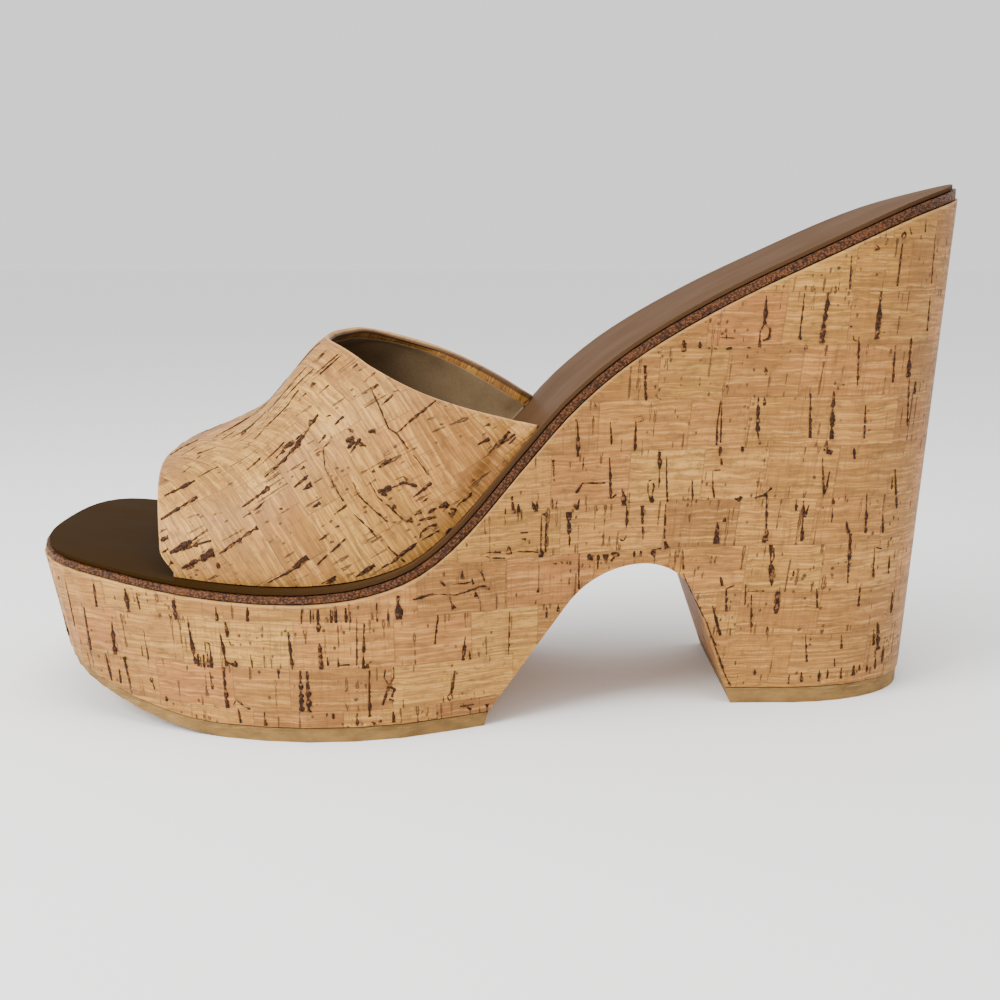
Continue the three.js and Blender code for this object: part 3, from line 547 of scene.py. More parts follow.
def bark_tree():
    """Streaks swept along edges that carry their width and the way out of the surface."""
    tree = bpy.data.node_groups.new("bark_streaks", "GeometryNodeTree")
    face = tree.interface
    face.new_socket("Streaks", in_out="INPUT", socket_type="NodeSocketGeometry")
    for name in ("Step", "Grain", "Ragged", "Depth"):
        face.new_socket(name, in_out="INPUT", socket_type="NodeSocketFloat")
    face.new_socket("Material", in_out="INPUT", socket_type="NodeSocketMaterial")
    face.new_socket("Bark", in_out="OUTPUT", socket_type="NodeSocketGeometry")
    given = add_node(tree, "NodeGroupInput").outputs

    def node(kind, inputs=(), **settings):
        return add_node(tree, kind, inputs, **settings).outputs[0]

    def scaled(vector, amount):
        return node("ShaderNodeVectorMath", {0: vector, "Scale": amount}, operation="SCALE")

    def carried(name, kind):
        return node("GeometryNodeInputNamedAttribute", {"Name": name}, data_type=kind)

    line = node("GeometryNodeMeshToCurve", {"Mesh": given["Streaks"]})
    line = node("GeometryNodeResampleCurve", {"Curve": line, "Length": given["Step"]},
                mode="LENGTH")
    cloud = add_node(tree, "ShaderNodeTexNoise", {
        "Vector": scaled(node("GeometryNodeInputPosition"), given["Grain"]),
        "W": float(BARK_SEED), "Scale": 1.0, "Detail": 2.0}, noise_dimensions="4D").outputs
    width = node("ShaderNodeMapRange", {
        "Value": cloud["Fac"], "From Min": 0.34, "From Max": 0.62, "To Min": 0.3, "To Max": 1.3})
    width = node("ShaderNodeMath", {0: width, 1: carried("width", "FLOAT")}, operation="MULTIPLY")
    line = node("GeometryNodeSetCurveRadius", {"Curve": line, "Radius": width})
    aside = node("ShaderNodeVectorMath", {0: cloud["Color"], 1: (0.5, 0.5, 0.5)},
                 operation="SUBTRACT")
    line = node("GeometryNodeSetPosition",
                {"Geometry": line, "Offset": scaled(aside, given["Ragged"])})
    line = node("GeometryNodeSetCurveNormal",
                {"Curve": line, "Normal": carried("outward", "FLOAT_VECTOR")}, mode="FREE")
    section = node("GeometryNodeCurvePrimitiveQuadrilateral",
                   {"Width": given["Depth"], "Height": 1.0}, mode="RECTANGLE")
    body = node("GeometryNodeCurveToMesh", {
        "Curve": line, "Profile Curve": section, "Fill Caps": True,
        "Scale": node("GeometryNodeInputRadius")})
    body = node("GeometryNodeRealizeInstances", {0: body})
    body = node("GeometryNodeSetMaterial", {"Geometry": body, "Material": given["Material"]})
    add_node(tree, "NodeGroupOutput", {0: body})
    return tree


def inlaid_bark(name, streaks, material):
    """The bark of one sheet: each streak is a width in mm and its places with their normals.

    A streak starts at about half its width and widens along its first half.
    """
    spots, edges, widths, normals = [], [], [], []
    for width, track in streaks:
        if len(track) < 2:
            continue
        for n, (spot, normal) in enumerate(track):
            share = n / (len(track) - 1)
            if n:
                edges.append((len(spots) - 1, len(spots)))
            spots.append(spot)
            normals.append(normal)
            widths.append(width * MM * (0.55 + 0.75 * min(1.0, share * 1.8)))
    lines = bpy.data.meshes.new(name)
    lines.from_pydata(spots, edges, [])
    lines.attributes.new("width", "FLOAT", "POINT").data.foreach_set("value", widths)
    lines.attributes.new("outward", "FLOAT_VECTOR", "POINT").data.foreach_set(
        "vector", [part for normal in normals for part in normal])
    piece = add_object(name, lines)
    tree = bark_tree()
    sweep = piece.modifiers.new("bark", "NODES")
    sweep.node_group = tree
    settings = {"Step": BARK_STEP, "Grain": BARK_GRAIN, "Ragged": BARK_RAGGED,
                "Depth": BARK_DEPTH, "Material": material}
    for socket in tree.interface.items_tree:
        if socket.in_out == "INPUT" and socket.name in settings:
            sweep[socket.identifier] = settings[socket.name]
    shaped = piece.evaluated_get(bpy.context.evaluated_depsgraph_get())
    piece_mesh = bpy.data.meshes.new_from_object(shaped)
    piece.modifiers.clear()
    piece.data = piece_mesh
    piece_mesh.name = name
    return piece


def laid(corners, spot_on):
    """Places at short steps along straight runs between corners, laid on the surface."""
    track = []
    for (x0, z0), (x1, z1) in zip(corners, corners[1:]):
        count = max(1, round(math.hypot(x1 - x0, z1 - z0) / TRACK_STEP))
        track += [(x0 + (x1 - x0) * n / count, z0 + (z1 - z0) * n / count) for n in range(count)]
    places = [spot_on(x, z) for x, z in track + [corners[-1]]]
    return [(spot + normal * BARK_PROUD, normal) for spot, normal in places if spot is not None]


def charted(chart, spot_on):
    """The streaks of a chart, laid on the surface."""
    return [(width, laid(list(zip(places[::2], places[1::2])), spot_on))
            for width, *places in chart]


def from_outside(surface_tree, x, z):
    """Where a level ray from the outer side first meets a surface, with x and z in mm."""
    start = Vector((x * MM, -CLEAR, z * MM))
    return surface_tree.ray_cast(start, Vector((0, 1, 0)))[:2]


def on_outer_side(x, z):
    return from_outside(wedge_surface, x, z)


def on_side(around, z):
    """The place on the wedge's side this far round, in metres, and at this height in mm."""
    turn = np.interp(around, loop_length, turns)
    way = Vector((math.cos(turn), math.sin(turn)))
    far = WEDGE_MIDDLE + way * FAR_OUT
    spot, normal = wedge_surface.ray_cast(Vector((far.x, far.y, z * MM)),
                                          Vector((-way.x, -way.y, 0)))[:2]
    reach = np.interp(turn, turns[:-1], loop_reach)
    if spot is None or (spot.xy - WEDGE_MIDDLE).length < reach - SIDE_SLACK:
        return None, None
    return spot, normal


def next_streak(draw, least_gap, mean_gap, sway):
    """The gap in mm to the next random streak, its width, its share of the row and its lean."""
    gap = least_gap + draw.exponential(mean_gap) if draw.random() > CLOSE_SHARE else CLOSE_GAP
    return gap, 0.3 + 0.7 * draw.random() ** 2, 0.2 + 0.8 * draw.random(), draw.normal(0, sway)


streaks = charted(OUTER_BARK, on_outer_side)
draw = np.random.default_rng(BARK_SEED)
for low, high in zip(ROW_SEAMS, ROW_SEAMS[1:]):
    around = FIRST_STREAK
    while around < round_the_side(LAST_TURN):
        gap, width, share, lean = next_streak(draw, 1.2, 6.5, 0.5)
        around += gap * MM
        top = np.interp(np.interp(around, loop_length, turns), turns[:-1], loop_top) * 1000
        start, far = (low, high) if draw.random() < 0.5 else (high, low)
        end = start + (far - start) * share
        start, end = np.clip([start, end], STREAKS_LOW, min(top - CLEAR_OF_TOP, STREAKS_HIGH))
        if abs(start - end) > SHORTEST_STREAK:
            streaks.append((width, laid([(around, end), (around + lean * MM, start)], on_side)))

finish = Finish("cork_bark")
crumbled = finish.noise(finish.place(0.45, 0.45, 0.6), 3.0, 0.65)
cracked = finish.noise(finish.place(1.6, 1.6, 1.1, (2, 5, 1)), 2.0)
dark = finish.mix(finish.spread(crumbled, 0.46, 0.66), shade(*BARK), shade(*BARK_PALE))
dark = finish.mix(finish.spread(cracked, 0.56, 0.66, 0.0, 0.6), dark, shade(150, 100, 56))
cork_bark = finish.close(dark, finish.spread(crumbled, 0.3, 0.7, 0.7, 0.9), crumbled,
                         0.12 * MM, 0.8, 0.2)
wedge_bark = inlaid_bark("wedge_bark_streaks", streaks, cork_bark)
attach(wedge_bark, "root")


# ---- Insole board ---------------------------------------------------------------------------
# A bent board on the wedge, its edge wrapped in dark reddish-brown leather with a pebbled
# grain, so that only this narrow band of it shows all round.

BOARD_ROUNDING = 0.5 * MM

finish = Finish("board_pebbled_leather")
pebble = finish.spread(finish.pebbles(finish.place(0.62, 0.62, 0.5))["Distance"], 0.15, 0.75)
wear = finish.noise(finish.place(6, 6, 2), 4.0, 0.6)
brown = finish.mix(pebble, shade(112, 66, 34), shade(44, 24, 12))
brown = finish.mix(finish.spread(wear, 0.5, 0.75, 0.0, 0.4), brown, shade(126, 78, 42))
board_leather = finish.close(brown, finish.spread(pebble, 0.0, 1.0, 0.36, 0.6),
                             finish.less(1.0, pebble), 0.22 * MM, 0.9, 0.2)
show(fair_copy("footbed_board", BOARD_ROUNDING), "insole_board_edge", "footbed_board",
     board_leather)


# ---- Sock -----------------------------------------------------------------------------------
# One sheet of smooth dark brown leather, nearly matt, glued on the board from toe to heel; a
# painted sheen lightens it from the dark toe toward the heel. It is slit on both sides, where the
# band goes down through it.

SOCK_ROUNDING = 0.3 * MM

finish = Finish("sock_smooth_leather")
pores = finish.noise(finish.place(0.35, 0.35, 0.35), 2.0, 0.5)
polish = finish.noise(finish.place(34, 22, 30))
# painted sheen: dark olive-brown at the toe grading to lighter brown toward the heel, standing in
# for the sheen there
brown = finish.mix(finish.spread(finish.axis(0), -40.0, 60.0), shade(44, 29, 9), shade(84, 60, 40))
brown = finish.mix(finish.spread(polish, 0.35, 0.7, 0.0, 0.25), brown, shade(58, 38, 20))
sock_leather = finish.close(brown, finish.spread(polish, 0.3, 0.7, 0.38, 0.5), pores,
                            0.02 * MM, 0.5, 0.004)
show(fair_copy("footbed_sock", SOCK_ROUNDING), "footbed_sock_leather", "footbed_sock",
     sock_leather)


# ---- Cork band ------------------------------------------------------------------------------
# The upper is one wide band of sheet cork on a backing, pulled over the last, its feet tucked
# down through the sock. The cork is turned over the front edge and the topline to a narrow
# facing inside. Its rows of tiles slant down toward the toe, with the small flecks across them.

BAND_WALL = 1.9 * MM
SKIN = 1.45 * MM
FACING_DEPTH, FACING_STEP = 3.6 * MM, 0.2 * MM
FACING_EASE = 1.2
BAND_AXIS_Y = -5 * MM
RAY_START, RAY_LENGTH = 0.12, 0.119
BAND_MIDDLE_X, BAND_REACH, EDGE_CLEAR = -30 * MM, 60 * MM, 0.03 * MM
FIRST_TURN = 1.5
FOOT_DEPTH = 1.0 * MM
BAND_SPREAD, BAND_RUN = 33, 13
FINE_SPREAD, FINE_RUN = 150, 61
OUTSIDE_POINTS, INSIDE_POINTS = 50, 46
BAND_SHARP_TURN = 60
EDGE_ROUND = 0.45 * MM
TOPLINE_LIFT = 1.2 * MM
INSTEP_CUT = 2.6 * MM
ROW_SLANT = math.radians(31)
ROWS_FROM = 34.4 * MM
BAND_ROW, BAND_ROW_START, BAND_CORK_SEED = 11.0, 6.9, 3.0
# each crease runs from one place to another, along and up; then its half width and its depth
CREASES = [(36, 60, 43, 71, 2.4, 0.5), (31, 52, 38, 61, 2.8, 0.4), (-4, 74, 8, 84, 4.0, 0.35),
           (-38, 43, -34, 54, 2.6, 0.35), (12, 42, 22, 54, 3.4, 0.35)]

band_surface = surface(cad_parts["upper_band"])
sock_surface = surface(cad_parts["footbed_sock"])


def band_hit(x, turn):
    """Where the band's outside is, seen from its axis on the footbed in this direction."""
    on_footbed = sock_surface.ray_cast(Vector((x, BAND_AXIS_Y, CLEAR)), down)[0]
    way = Vector((0, -math.cos(turn), math.sin(turn)))
    return band_surface.ray_cast(on_footbed + way * RAY_START, -way, RAY_LENGTH)[0]


coarse = []
for column in range(BAND_SPREAD):
    turn = math.radians(FIRST_TURN)
    turn += math.radians(180 - 2 * FIRST_TURN) * column / (BAND_SPREAD - 1)
    front = edge_of(lambda x: band_hit(x, turn), BAND_MIDDLE_X, -BAND_REACH) + EDGE_CLEAR
    back = edge_of(lambda x: band_hit(x, turn), BAND_MIDDLE_X, BAND_REACH) - EDGE_CLEAR
    back -= INSTEP_CUT * math.sin(turn) ** 8
    coarse.append([band_hit(front + (back - front) * n / (BAND_RUN - 1), turn)
                   for n in range(BAND_RUN)])
coarse = np.array(coarse)


def through(points, count):
    """count rows of points on smooth curves through the given rows."""
    spots = np.linspace(0, len(points) - 1, count)
    first = np.minimum(spots.astype(int), len(points) - 2)
    part = (spots - first)[:, None, None]
    ends = np.concatenate([2 * points[:1] - points[1:2], points, 2 * points[-1:] - points[-2:-1]])
    a, b, c, d = (ends[first + n] for n in range(4))
    return 0.5 * (2 * b + (c - a) * part + (2 * a - 5 * b + 4 * c - d) * part ** 2
                  + (3 * b - a - 3 * c + d) * part ** 3)


# skin[round the foot, front to back] is the band's outside; outward, run and girth go with it
skin = through(coarse, FINE_SPREAD)
skin = through(skin.transpose(1, 0, 2), FINE_RUN).transpose(1, 0, 2)
lift = skin[:, -1] - skin[:, -2]
lift *= abs(np.cos(np.linspace(0, math.pi, len(lift))))[:, None] * TOPLINE_LIFT
skin[:, -1] += lift / np.linalg.norm(skin[:, -1] - skin[:, -2], axis=1)[:, None]
foot_drop = np.array([0, 0, FOOT_DEPTH])
skin = np.concatenate([skin[:1] - foot_drop, skin[:1] - foot_drop / 2, skin,
                       skin[-1:] - foot_drop / 2, skin[-1:] - foot_drop])
outward = np.cross(np.gradient(skin, axis=1), np.gradient(skin, axis=0))
outward /= np.linalg.norm(outward, axis=2)[:, :, None]
if outward[len(skin) // 2, FINE_RUN // 2, 2] < 0:
    outward = -outward
for x0, z0, x1, z1, width, depth in CREASES:
    way = np.array([x1 - x0, z1 - z0])
    off = skin[:, :, [0, 2]] * 1000 - (x0, z0)
    off -= np.clip(off @ way / (way @ way), 0, 1)[:, :, None] * way
    gap = (off ** 2).sum(2) / width ** 2
    fold = (1 - gap) * np.exp(-gap) * (skin[:, :, 1] < BAND_AXIS_Y)
    skin = skin - outward * (depth * MM * fold)[:, :, None]
run = np.linalg.norm(np.diff(skin, axis=1), axis=2)
run = np.concatenate([np.zeros((len(skin), 1)), np.cumsum(run, axis=1)], 1)
girth = np.append(0, np.cumsum(np.linalg.norm(np.diff(skin[:, FINE_RUN // 2], axis=0), axis=1)))


def sheet_place(x, round_foot):
    """Where this place on the band lies on the flat sheet, along its rows and across them."""
    high = round_foot + np.interp(x, skin[2, :, 0], skin[2, :, 2]) - ROWS_FROM
    return (high * math.cos(ROW_SLANT) - x * math.sin(ROW_SLANT),
            x * math.cos(ROW_SLANT) + high * math.sin(ROW_SLANT))


def band_shell(profile_of, name):
    """A closed shell swept from foot to foot; profile_of gives (run, depth) pairs for a length."""
    work = bmesh.new()
    flat = work.loops.layers.uv.new("sheet")
    lip = work.verts.layers.float.new("from_edge")
    sunk = work.verts.layers.float.new("inward")
    rings, spots = [], []
    for column in range(len(skin)):
        whole = run[column, -1]
        pairs = np.array(profile_of(whole))
        place, normal = (
            np.stack([np.interp(pairs[:, 0], run[column], part) for part in table.T], 1)
            for table in (skin[column], outward[column]))
        place = place - normal * pairs[:, 1:2]
        ring = [work.verts.new(p) for p in place]
        for vert, (at, depth) in zip(ring, pairs):
            vert[lip], vert[sunk] = min(at, whole - at) * 1000, depth * 1000
        rings.append(ring)
        over = np.where(pairs[:, 0] < whole / 2, -pairs[:, 1], pairs[:, 1])
        spots.append(np.stack(sheet_place(place[:, 0] + over, girth[column]), 1))
    for column in range(len(rings) - 1):
        for n in range(len(rings[0])):
            m = (n + 1) % len(rings[0])
            corners = ((column, n), (column, m), (column + 1, m), (column + 1, n))
            face = work.faces.new([rings[c][k] for c, k in corners])
            for loop, (c, k) in zip(face.loops, corners):
                loop[flat].uv = spots[c][k]
    for ring in (rings[0], rings[-1]):
        for n in range(len(ring) // 2 - 1):
            work.faces.new((ring[n], ring[n + 1], ring[-2 - n], ring[-1 - n]))
    bmesh.ops.recalc_face_normals(work, faces=work.faces)
    return add_object(name, smooth_mesh(work, name, BAND_SHARP_TURN))


def cork_profile(whole):
    """Round the turned edges: outside, topline, facing, under the lining, facing, front edge."""
    bend = [EDGE_ROUND * (1 - math.cos(math.radians(a))) for a in (0, 30, 60, 90)]
    turned = list(zip(bend[::-1], bend))[1:]
    corner = turned + [(edge, BAND_WALL - depth) for edge, depth in turned[::-1]]
    outside = [(at, 0.0) for at in np.linspace(EDGE_ROUND, whole - EDGE_ROUND, OUTSIDE_POINTS)]
    topline = [(whole - edge, depth) for edge, depth in corner]
    back, front = whole - FACING_DEPTH, FACING_DEPTH
    inside = [(at, SKIN) for at in np.linspace(whole - FACING_EASE * FACING_DEPTH,
                                               FACING_EASE * FACING_DEPTH, INSIDE_POINTS)]
    inside = ([(back, BAND_WALL), (back - FACING_STEP, SKIN)] + inside
              + [(front + FACING_STEP, SKIN), (front, BAND_WALL)])
    return outside + topline + inside + corner[::-1]


# paler where the sheet turns over its edges; painted shade just inside the rolled edges,
# and more painted shade on the facing inside, growing toward the front
finish = Finish("band_sheet_cork")
colour, relief, roughness = cork(finish, *finish.sheet(), BAND_ROW, BAND_ROW_START, BAND_CORK_SEED)
from_edge, inward = finish.carried("from_edge"), finish.carried("inward")
fold = finish.spread(from_edge, 0.9, 0.3)
colour = finish.mix(finish.times(fold, 0.5), colour, shade(196, 152, 96))
# painted shade: a dark line just inside the rolled edge, where the roll shades the cork
painted_roll_shade = finish.times(finish.spread(inward, 0.7, 1.3), finish.spread(from_edge, 1.5, 0.9))
colour = finish.mix(finish.times(painted_roll_shade, 0.85), colour, shade(62, 36, 16))
# painted shade: darkens the cork facing inside the opening, more toward the front, where it lies in
# shadow
painted_facing_shade = finish.times(finish.spread(inward, 1.2, 1.7), finish.spread(finish.axis(0), 26.0, -8.0))
colour = finish.mix(finish.times(painted_facing_shade, 0.7), colour, shade(66, 42, 22))
band_cork = finish.close(colour, roughness, relief, CORK_RELIEF, CORK_BUMP, CORK_SPECULAR)
band = band_shell(cork_profile, "band_cork_cover")
band.data.materials.append(band_cork)
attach(band, "root")
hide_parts("upper_band")


# ---- Bark in the band's cork ----------------------------------------------------------------
# The same bark in the band's sheet. Here the rows run down the foot, so the streaks lie across
# them and rise to the back, with a few knots and some long cracks along the rows.
# Each entry gives a streak's width and then its places on the outer side, along and up, in mm.

BAND_BARK = [
    (.8, -39.3, 53.6, -31.9, 57.3), (.35, -31.9, 57.8, -26.6, 60.4),
    (.75, -39.2, 48.9, -30.6, 54.2), (.55, -29, 63.7, -33.6, 62), (.25, -38.3, 61, -35, 63),
    (.35, -34, 59.8, -35.8, 58.5), (.4, -33.4, 61.2, -32.4, 61.8), (1.0, -39.4, 44.2, -37, 45.3),
    (1.1, -36.3, 41.9, -31, 44.9), (.55, -31, 44.9, -27.3, 47.5), (.7, -33.3, 43, -29.5, 44.3),
    (.4, -29.5, 44.3, -26.2, 45.3), (.5, -38.3, 41.8, -36.8, 42.8), (.8, -33.4, 38.6, -29.5, 40.9),
    (1.3, -30.5, 40, -25.6, 42.8), (.8, -32.2, 38.4, -30.5, 39.6), (.9, -29, 41.4, -25.8, 43.3),
    (.7, -36.6, 38.9, -35.8, 40), (.9, -24.7, 40.5, -24.2, 39.2), (.5, -24.3, 42.4, -19, 46.2),
    (.7, -19, 46.2, -15.2, 48.8), (.6, -19.2, 52.8, -12.9, 57.2), (.9, -14, 56.4, -12.8, 57.6),
    (.35, -16.3, 52.2, -13.7, 54.3), (.3, -18.8, 50.6, -17, 51.8), (.45, -19, 60.4, -15.8, 63),
    (.7, -16.4, 62.4, -15.6, 63.3), (.75, -14.1, 59.5, -9.6, 63.4, -7.4, 66, -5, 69),
    (.6, -5, 69, -3.1, 71.8, -2, 73.5), (.35, -14.9, 62.3, -11.7, 65.3, -9.8, 67.2),
    (.6, -11.6, 63.6, -9.7, 65.5), (1.0, -9.8, 65.9, -7.3, 67.6), (.5, -7.3, 67.6, -5.4, 69.2),
    (.55, -18.3, 66.6, -15, 70, -11, 73.8, -9.8, 75), (.55, -10, 74.6, -9, 76.5, -7.7, 78.2),
    (.5, -4.4, 81.4, 1.5, 86.4), (.4, -5.3, 84, -1.9, 87), (.4, -4.3, 84.3, -2.3, 86.3),
    (.8, -4.5, 79, -3.8, 80), (.4, -6.3, 77, -5.5, 77.7), (.3, -2.3, 77.8, 0, 79.8),
    (1.0, -4, 71, -3.3, 72.2), (.5, -8.2, 65.2, -5.5, 67), (.5, -1.3, 67.5, .2, 69.3),
    (.4, -.3, 66.5, 1.2, 67.8), (.35, -.3, 66.3, .2, 62.4, 2, 59.2, 4.5, 55),
    (.6, -6.8, 57.8, -3.5, 60.5), (.9, -4.6, 57.4, -2.8, 58.5), (.8, -5.4, 61.6, -4.5, 62.3),
    (.3, -2.2, 58.9, -.3, 60), (.5, 2.2, 71.6, 4.2, 73.4), (.4, .1, 73.2, 1.2, 73.5),
    (.6, -2.4, 53.5, -.7, 54.6), (.4, -10.2, 53, -9.4, 53.2), (.4, -12.8, 36.4, -8.4, 38.8),
    (.9, -8.4, 38.8, -3.5, 42.4), (.4, -6.3, 40.9, -3.9, 42.9), (.6, -1.4, 40.7, 1, 43),
    (.4, 1, 43, 5, 46.5), (.4, -.6, 36.4, 2.8, 38), (.4, .4, 36.2, 2.6, 37.4),
    (.5, -1, 46.2, 1.3, 47.7), (.5, 2.5, 49, 3.6, 49.5), (.4, 2.5, 52, 5.2, 54.1),
    (.3, -23, 66.8, -20, 69.3), (.6, -22.7, 66.6, -21.4, 67.6), (.3, -12, 77, -9.7, 79.3),
    (.5, 16.7, 70, 20, 73, 23.2, 75.4), (.4, 23.2, 75.4, 25.4, 77),
    (.35, 10.2, 80, 13, 74.6, 14.7, 71, 16.6, 69.8), (.4, 16.6, 69.8, 19.2, 66.4),
    (.25, 19.2, 66.4, 21.7, 63.4, 23.7, 60.5), (1.0, 4.9, 68, 6.8, 69), (.9, 5.3, 66.5, 7, 68.2),
    (.6, 6, 65.4, 8.3, 68.8), (.8, 7.6, 67.6, 9.6, 67.1), (.8, 10, 70.2, 11.6, 70.4),
    (.6, 5.4, 70.7, 6.6, 70.2), (.4, 13, 76, 16, 78.8), (.5, 10.2, 79, 12, 80.5),
    (.4, 9, 81.3, 11.2, 83), (.3, 5.4, 83.5, 6.8, 84.7), (.6, 12.5, 62.4, 15.4, 64.3),
    (.5, 10.9, 61.4, 11.6, 61.7), (1.3, 12.3, 57, 15.4, 57.9), (.5, 15.4, 57.9, 18.3, 59, 21.2, 58),
    (.8, 13, 56.3, 14.2, 56.7), (.4, 16.3, 59.7, 18, 60.3, 19, 59.4), (.5, 19.9, 55.3, 24.4, 58.8),
    (.3, 22, 54.2, 23.6, 55.3), (.3, 6.7, 59.3, 7.8, 56.4, 11.3, 53, 14.5, 50.3),
    (.3, 10.4, 59.3, 12.3, 55.8, 14.5, 54, 18, 50.5), (.4, 7, 52, 10.2, 49, 12.5, 46.2),
    (.4, 14.4, 44.6, 16.6, 42.3, 18.3, 40.8), (.7, 15.5, 53.2, 16.2, 53.7),
    (1.1, 18.7, 49.9, 20, 50.4), (.7, 20.5, 51.5, 22, 52.3), (.6, 21.5, 50.2, 25.5, 51),
    (.6, 23.5, 51.8, 25.5, 53), (.8, 26, 53, 28, 54), (.5, 27, 52, 28.5, 53.6),
    (.5, 28.2, 51.8, 28.7, 50.7, 29.6, 51.3, 29.8, 52.4, 28.6, 52.6),
    (.5, 21.5, 45.4, 22, 47.4, 23.7, 48.8, 25.6, 49.2), (.4, 21.5, 45.4, 24.3, 46.8, 26, 47.8),
    (.6, 13.1, 39.8, 15.3, 40.7, 17.5, 42.6, 21.5, 45.4), (.9, 7.3, 37.8, 11.5, 40.4),
    (.5, 27.4, 46.8, 28.2, 47.7, 29.5, 48), (.5, 30, 53, 33.6, 56),
    (.8, 37, 64.5, 40.8, 68, 42.2, 69.6), (.6, 40.2, 66.8, 43.6, 69), (.4, 42, 66.8, 43.8, 68.4),
    (.6, 34.9, 67, 37.5, 68.2), (.4, 36.2, 71, 37.7, 71.5)]
BAND_BARK_SEED = 23
FIRST_ROW, LAST_ROW = -2, 11
ROW_RUN_FROM, ROW_RUN_TO = 20.0, 165.0  # mm along the sheet
CLEAR_OF_FRONT, CLEAR_OF_TOPLINE, PAST_OUTER_SIDE = 1.2 * MM, 2 * MM, 56 * MM

band_skin = surface(band)


def on_outer_band(x, z):
    """The place on the band's outer side; nothing where the ray goes in through the opening."""
    spot, normal = from_outside(band_skin, x, z)
    return (spot, normal) if spot is not None and spot.y < 0 else (None, None)


def on_band(along_row, over_rows):
    """The place on the band where this place of its sheet lies, in mm, past the outer side."""
    x = (over_rows * math.cos(ROW_SLANT) - along_row * math.sin(ROW_SLANT)) * MM
    high = (over_rows * math.sin(ROW_SLANT) + along_row * math.cos(ROW_SLANT)) * MM
    round_foot = high + ROWS_FROM - np.interp(x, skin[2, :, 0], skin[2, :, 2])
    column = np.interp(round_foot, girth, range(len(girth)))
    low = min(int(column), len(girth) - 2)
    part = column - low
    if not (skin[low, 0, 0] + CLEAR_OF_FRONT < x < skin[low, -1, 0] - CLEAR_OF_TOPLINE
            and PAST_OUTER_SIDE < round_foot < girth[-1] - CLEAR_OF_TOPLINE):
        return None, None
    ends = [np.array([np.interp(x, skin[at, :, 0], table[at, :, n])
                      for table in (skin, outward) for n in range(3)]) for at in (low, low + 1)]
    mixed = ends[0] * (1 - part) + ends[1] * part
    return Vector(mixed[:3]), Vector(mixed[3:]).normalized()


streaks = charted(BAND_BARK, on_outer_band)
draw = np.random.default_rng(BAND_BARK_SEED)
for row in range(FIRST_ROW, LAST_ROW + 1):
    along_row = ROW_RUN_FROM
    while along_row < ROW_RUN_TO:
        gap, width, share, lean = next_streak(draw, 1.5, 6.0, 0.6)
        along_row += gap
        seam = BAND_ROW_START + BAND_ROW * (row + draw.integers(0, 2))
        tip = seam + (BAND_ROW if draw.random() < 0.5 else -BAND_ROW) * share
        streaks.append((width, laid([(along_row, tip), (along_row + lean, seam)], on_band)))
band_bark = inlaid_bark("band_bark_streaks", streaks, cork_bark)
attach(band_bark, "root")


# ---- Band lining ----------------------------------------------------------------------------
# Soft beige leather inside the band, glued to the backing, with painted shade that darkens it
# toward the front. Its skived edges overlap the cork facing a little, so they stand just proud of
# it.

LINING_LAP, LINING_EDGE = 0.5 * MM, 0.35 * MM
LINING_TOP, LINING_UNDER = BAND_WALL + 0.28 * MM, BAND_WALL + 0.02 * MM
LINING_GLUED = SKIN + 0.05 * MM
LINING_POINTS, UNDER_POINTS = 40, 36


def lining_profile(whole):
    """A thin sheet with rounded edges, from one facing to the other."""
    low, high = FACING_DEPTH - LINING_LAP, whole - FACING_DEPTH + LINING_LAP

    def edge(start, way):
        """Down over one edge and under the facing; way is 1 at the front and -1 at the back."""
        return [(start + way * 0.1 * MM, LINING_TOP - 0.06 * MM), (start, LINING_TOP - 0.14 * MM),
                (start, LINING_UNDER), (start + way * 1.1 * MM, LINING_UNDER),
                (start + way * 1.4 * MM, LINING_GLUED)]

    top = np.linspace(high - LINING_EDGE, low + LINING_EDGE, LINING_POINTS)
    under = np.linspace(1.5 * FACING_DEPTH, whole - 1.5 * FACING_DEPTH, UNDER_POINTS)
    return ([(at, LINING_TOP) for at in top] + edge(low, 1)
            + [(at, LINING_GLUED) for at in under] + edge(high, -1)[::-1])


finish = Finish("lining_beige_leather")
grain = finish.pebbles(finish.place(0.7, 0.7, 0.7))["Distance"]
soft = finish.noise(finish.place(14, 14, 14), 4.0, 0.6)
beige = finish.mix(finish.spread(soft, 0.3, 0.7), shade(134, 110, 78), shade(116, 93, 63))
beige = finish.mix(finish.spread(grain, 0.4, 0.9, 0.0, 0.2), beige, shade(92, 70, 46))
# painted shade: darker toward the front, deep in the opening, where the lining lies in shadow
beige = finish.mix(finish.spread(finish.axis(0), 34.0, -8.0, 0.0, 0.8), beige, shade(64, 46, 30))
lining_leather = finish.close(beige, finish.spread(soft, 0.3, 0.7, 0.5, 0.62), grain,
                              0.05 * MM, 0.5, 0.4)
lining = band_shell(lining_profile, "band_lining_leather")
lining.data.materials.append(lining_leather)
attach(lining, "root")


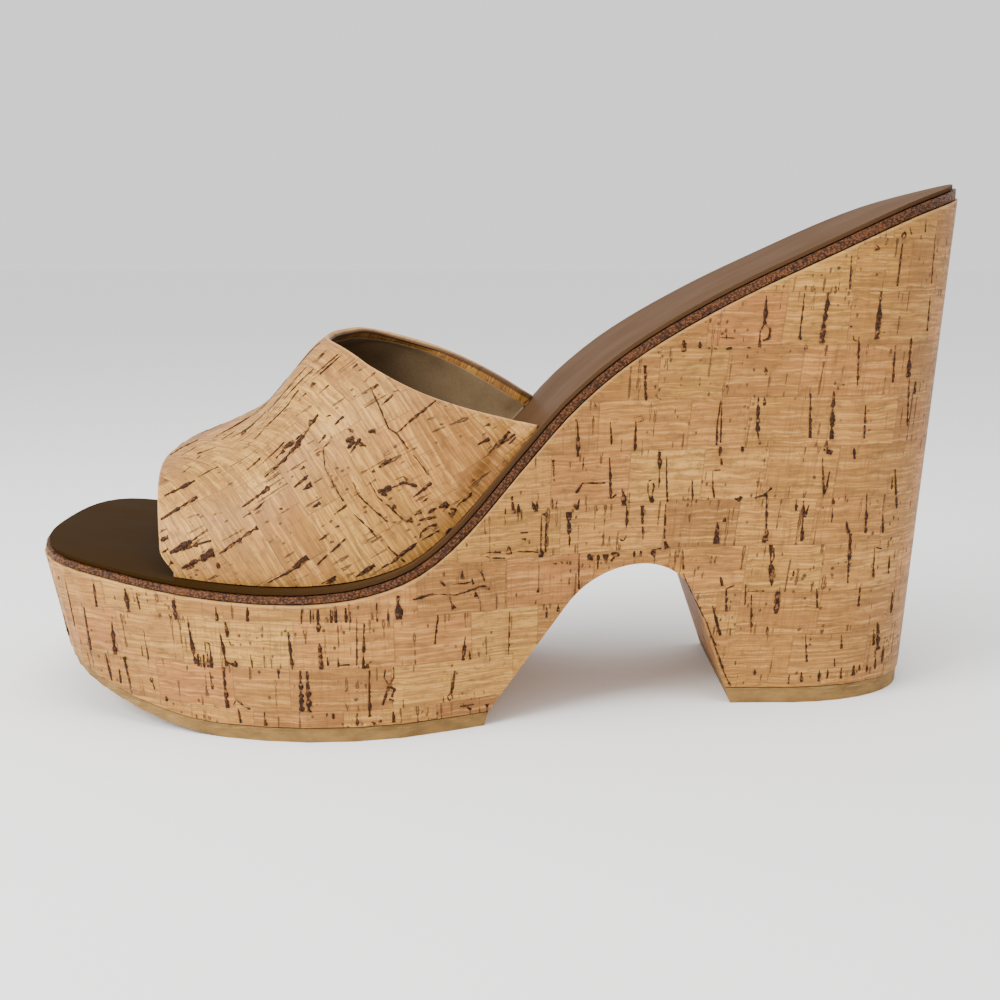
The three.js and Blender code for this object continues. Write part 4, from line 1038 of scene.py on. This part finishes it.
# ---- Floor, light and camera ----------------------------------------------------------------
# A pale studio floor, broad soft lights, and the camera at the photograph's angle.

FLOOR_HALF = 6
FLOOR_TONES = (0.95, 0.95, 0.945, 1), (0.98, 0.98, 0.975, 1)
AIR_LIGHT = 1.2
# each light's place, the place it is aimed at, its size in metres and its power in watts
LIGHTS = {"key_light": ((-0.46, -0.40, 0.46), (0.0, 0, 0.05), 0.4, 6.6),
          "fill_light": ((0.9, -0.7, 0.6), (0.04, 0, 0.05), 0.9, 0.3),
          "top_light": ((0.04, -0.16, 0.70), (0.0, 0, 0.06), 0.4, 3.2)}
CAMERA_PLACE, CAMERA_TILT = (0.040, -0.363, 0.112), 79.75
CAMERA_LENS, CAMERA_FILM = 50.76, 36.0

floor_mesh = bpy.data.meshes.new("studio_floor")
floor_mesh.from_pydata([(x * FLOOR_HALF, y * FLOOR_HALF, 0)
                        for x, y in ((-1, -1), (1, -1), (1, 1), (-1, 1))], [], [(0, 1, 2, 3)])
floor = add_object("studio_floor", floor_mesh)
finish = Finish("studio_paper")
tooth = finish.noise(finish.place(3, 3, 3))
floor_mesh.materials.append(finish.close(finish.mix(tooth, *FLOOR_TONES), 0.8, tooth,
                                         0.05 * MM, 0.3, 0.2))

world = bpy.data.worlds.new("studio_air")
bpy.context.scene.world = world
world.use_nodes = True
world.node_tree.nodes["Background"].inputs[0].default_value = (1.0, 1.0, 1.0, 1)
world.node_tree.nodes["Background"].inputs[1].default_value = AIR_LIGHT

for name, (place, aim, size, power) in LIGHTS.items():
    lamp = bpy.data.lights.new(name, "AREA")
    lamp.shape, lamp.size, lamp.energy = "SQUARE", size, power
    light = add_object(name, lamp)
    light.location = place
    light.rotation_euler = (Vector(aim) - Vector(place)).to_track_quat("-Z", "Y").to_euler()

camera_data = bpy.data.cameras.new("camera")
camera_data.lens, camera_data.sensor_width = CAMERA_LENS, CAMERA_FILM
camera_data.clip_start = 0.01
camera = add_object("camera", camera_data)
camera.location = CAMERA_PLACE
camera.rotation_euler = (math.radians(CAMERA_TILT), 0, 0)
bpy.context.scene.camera = camera
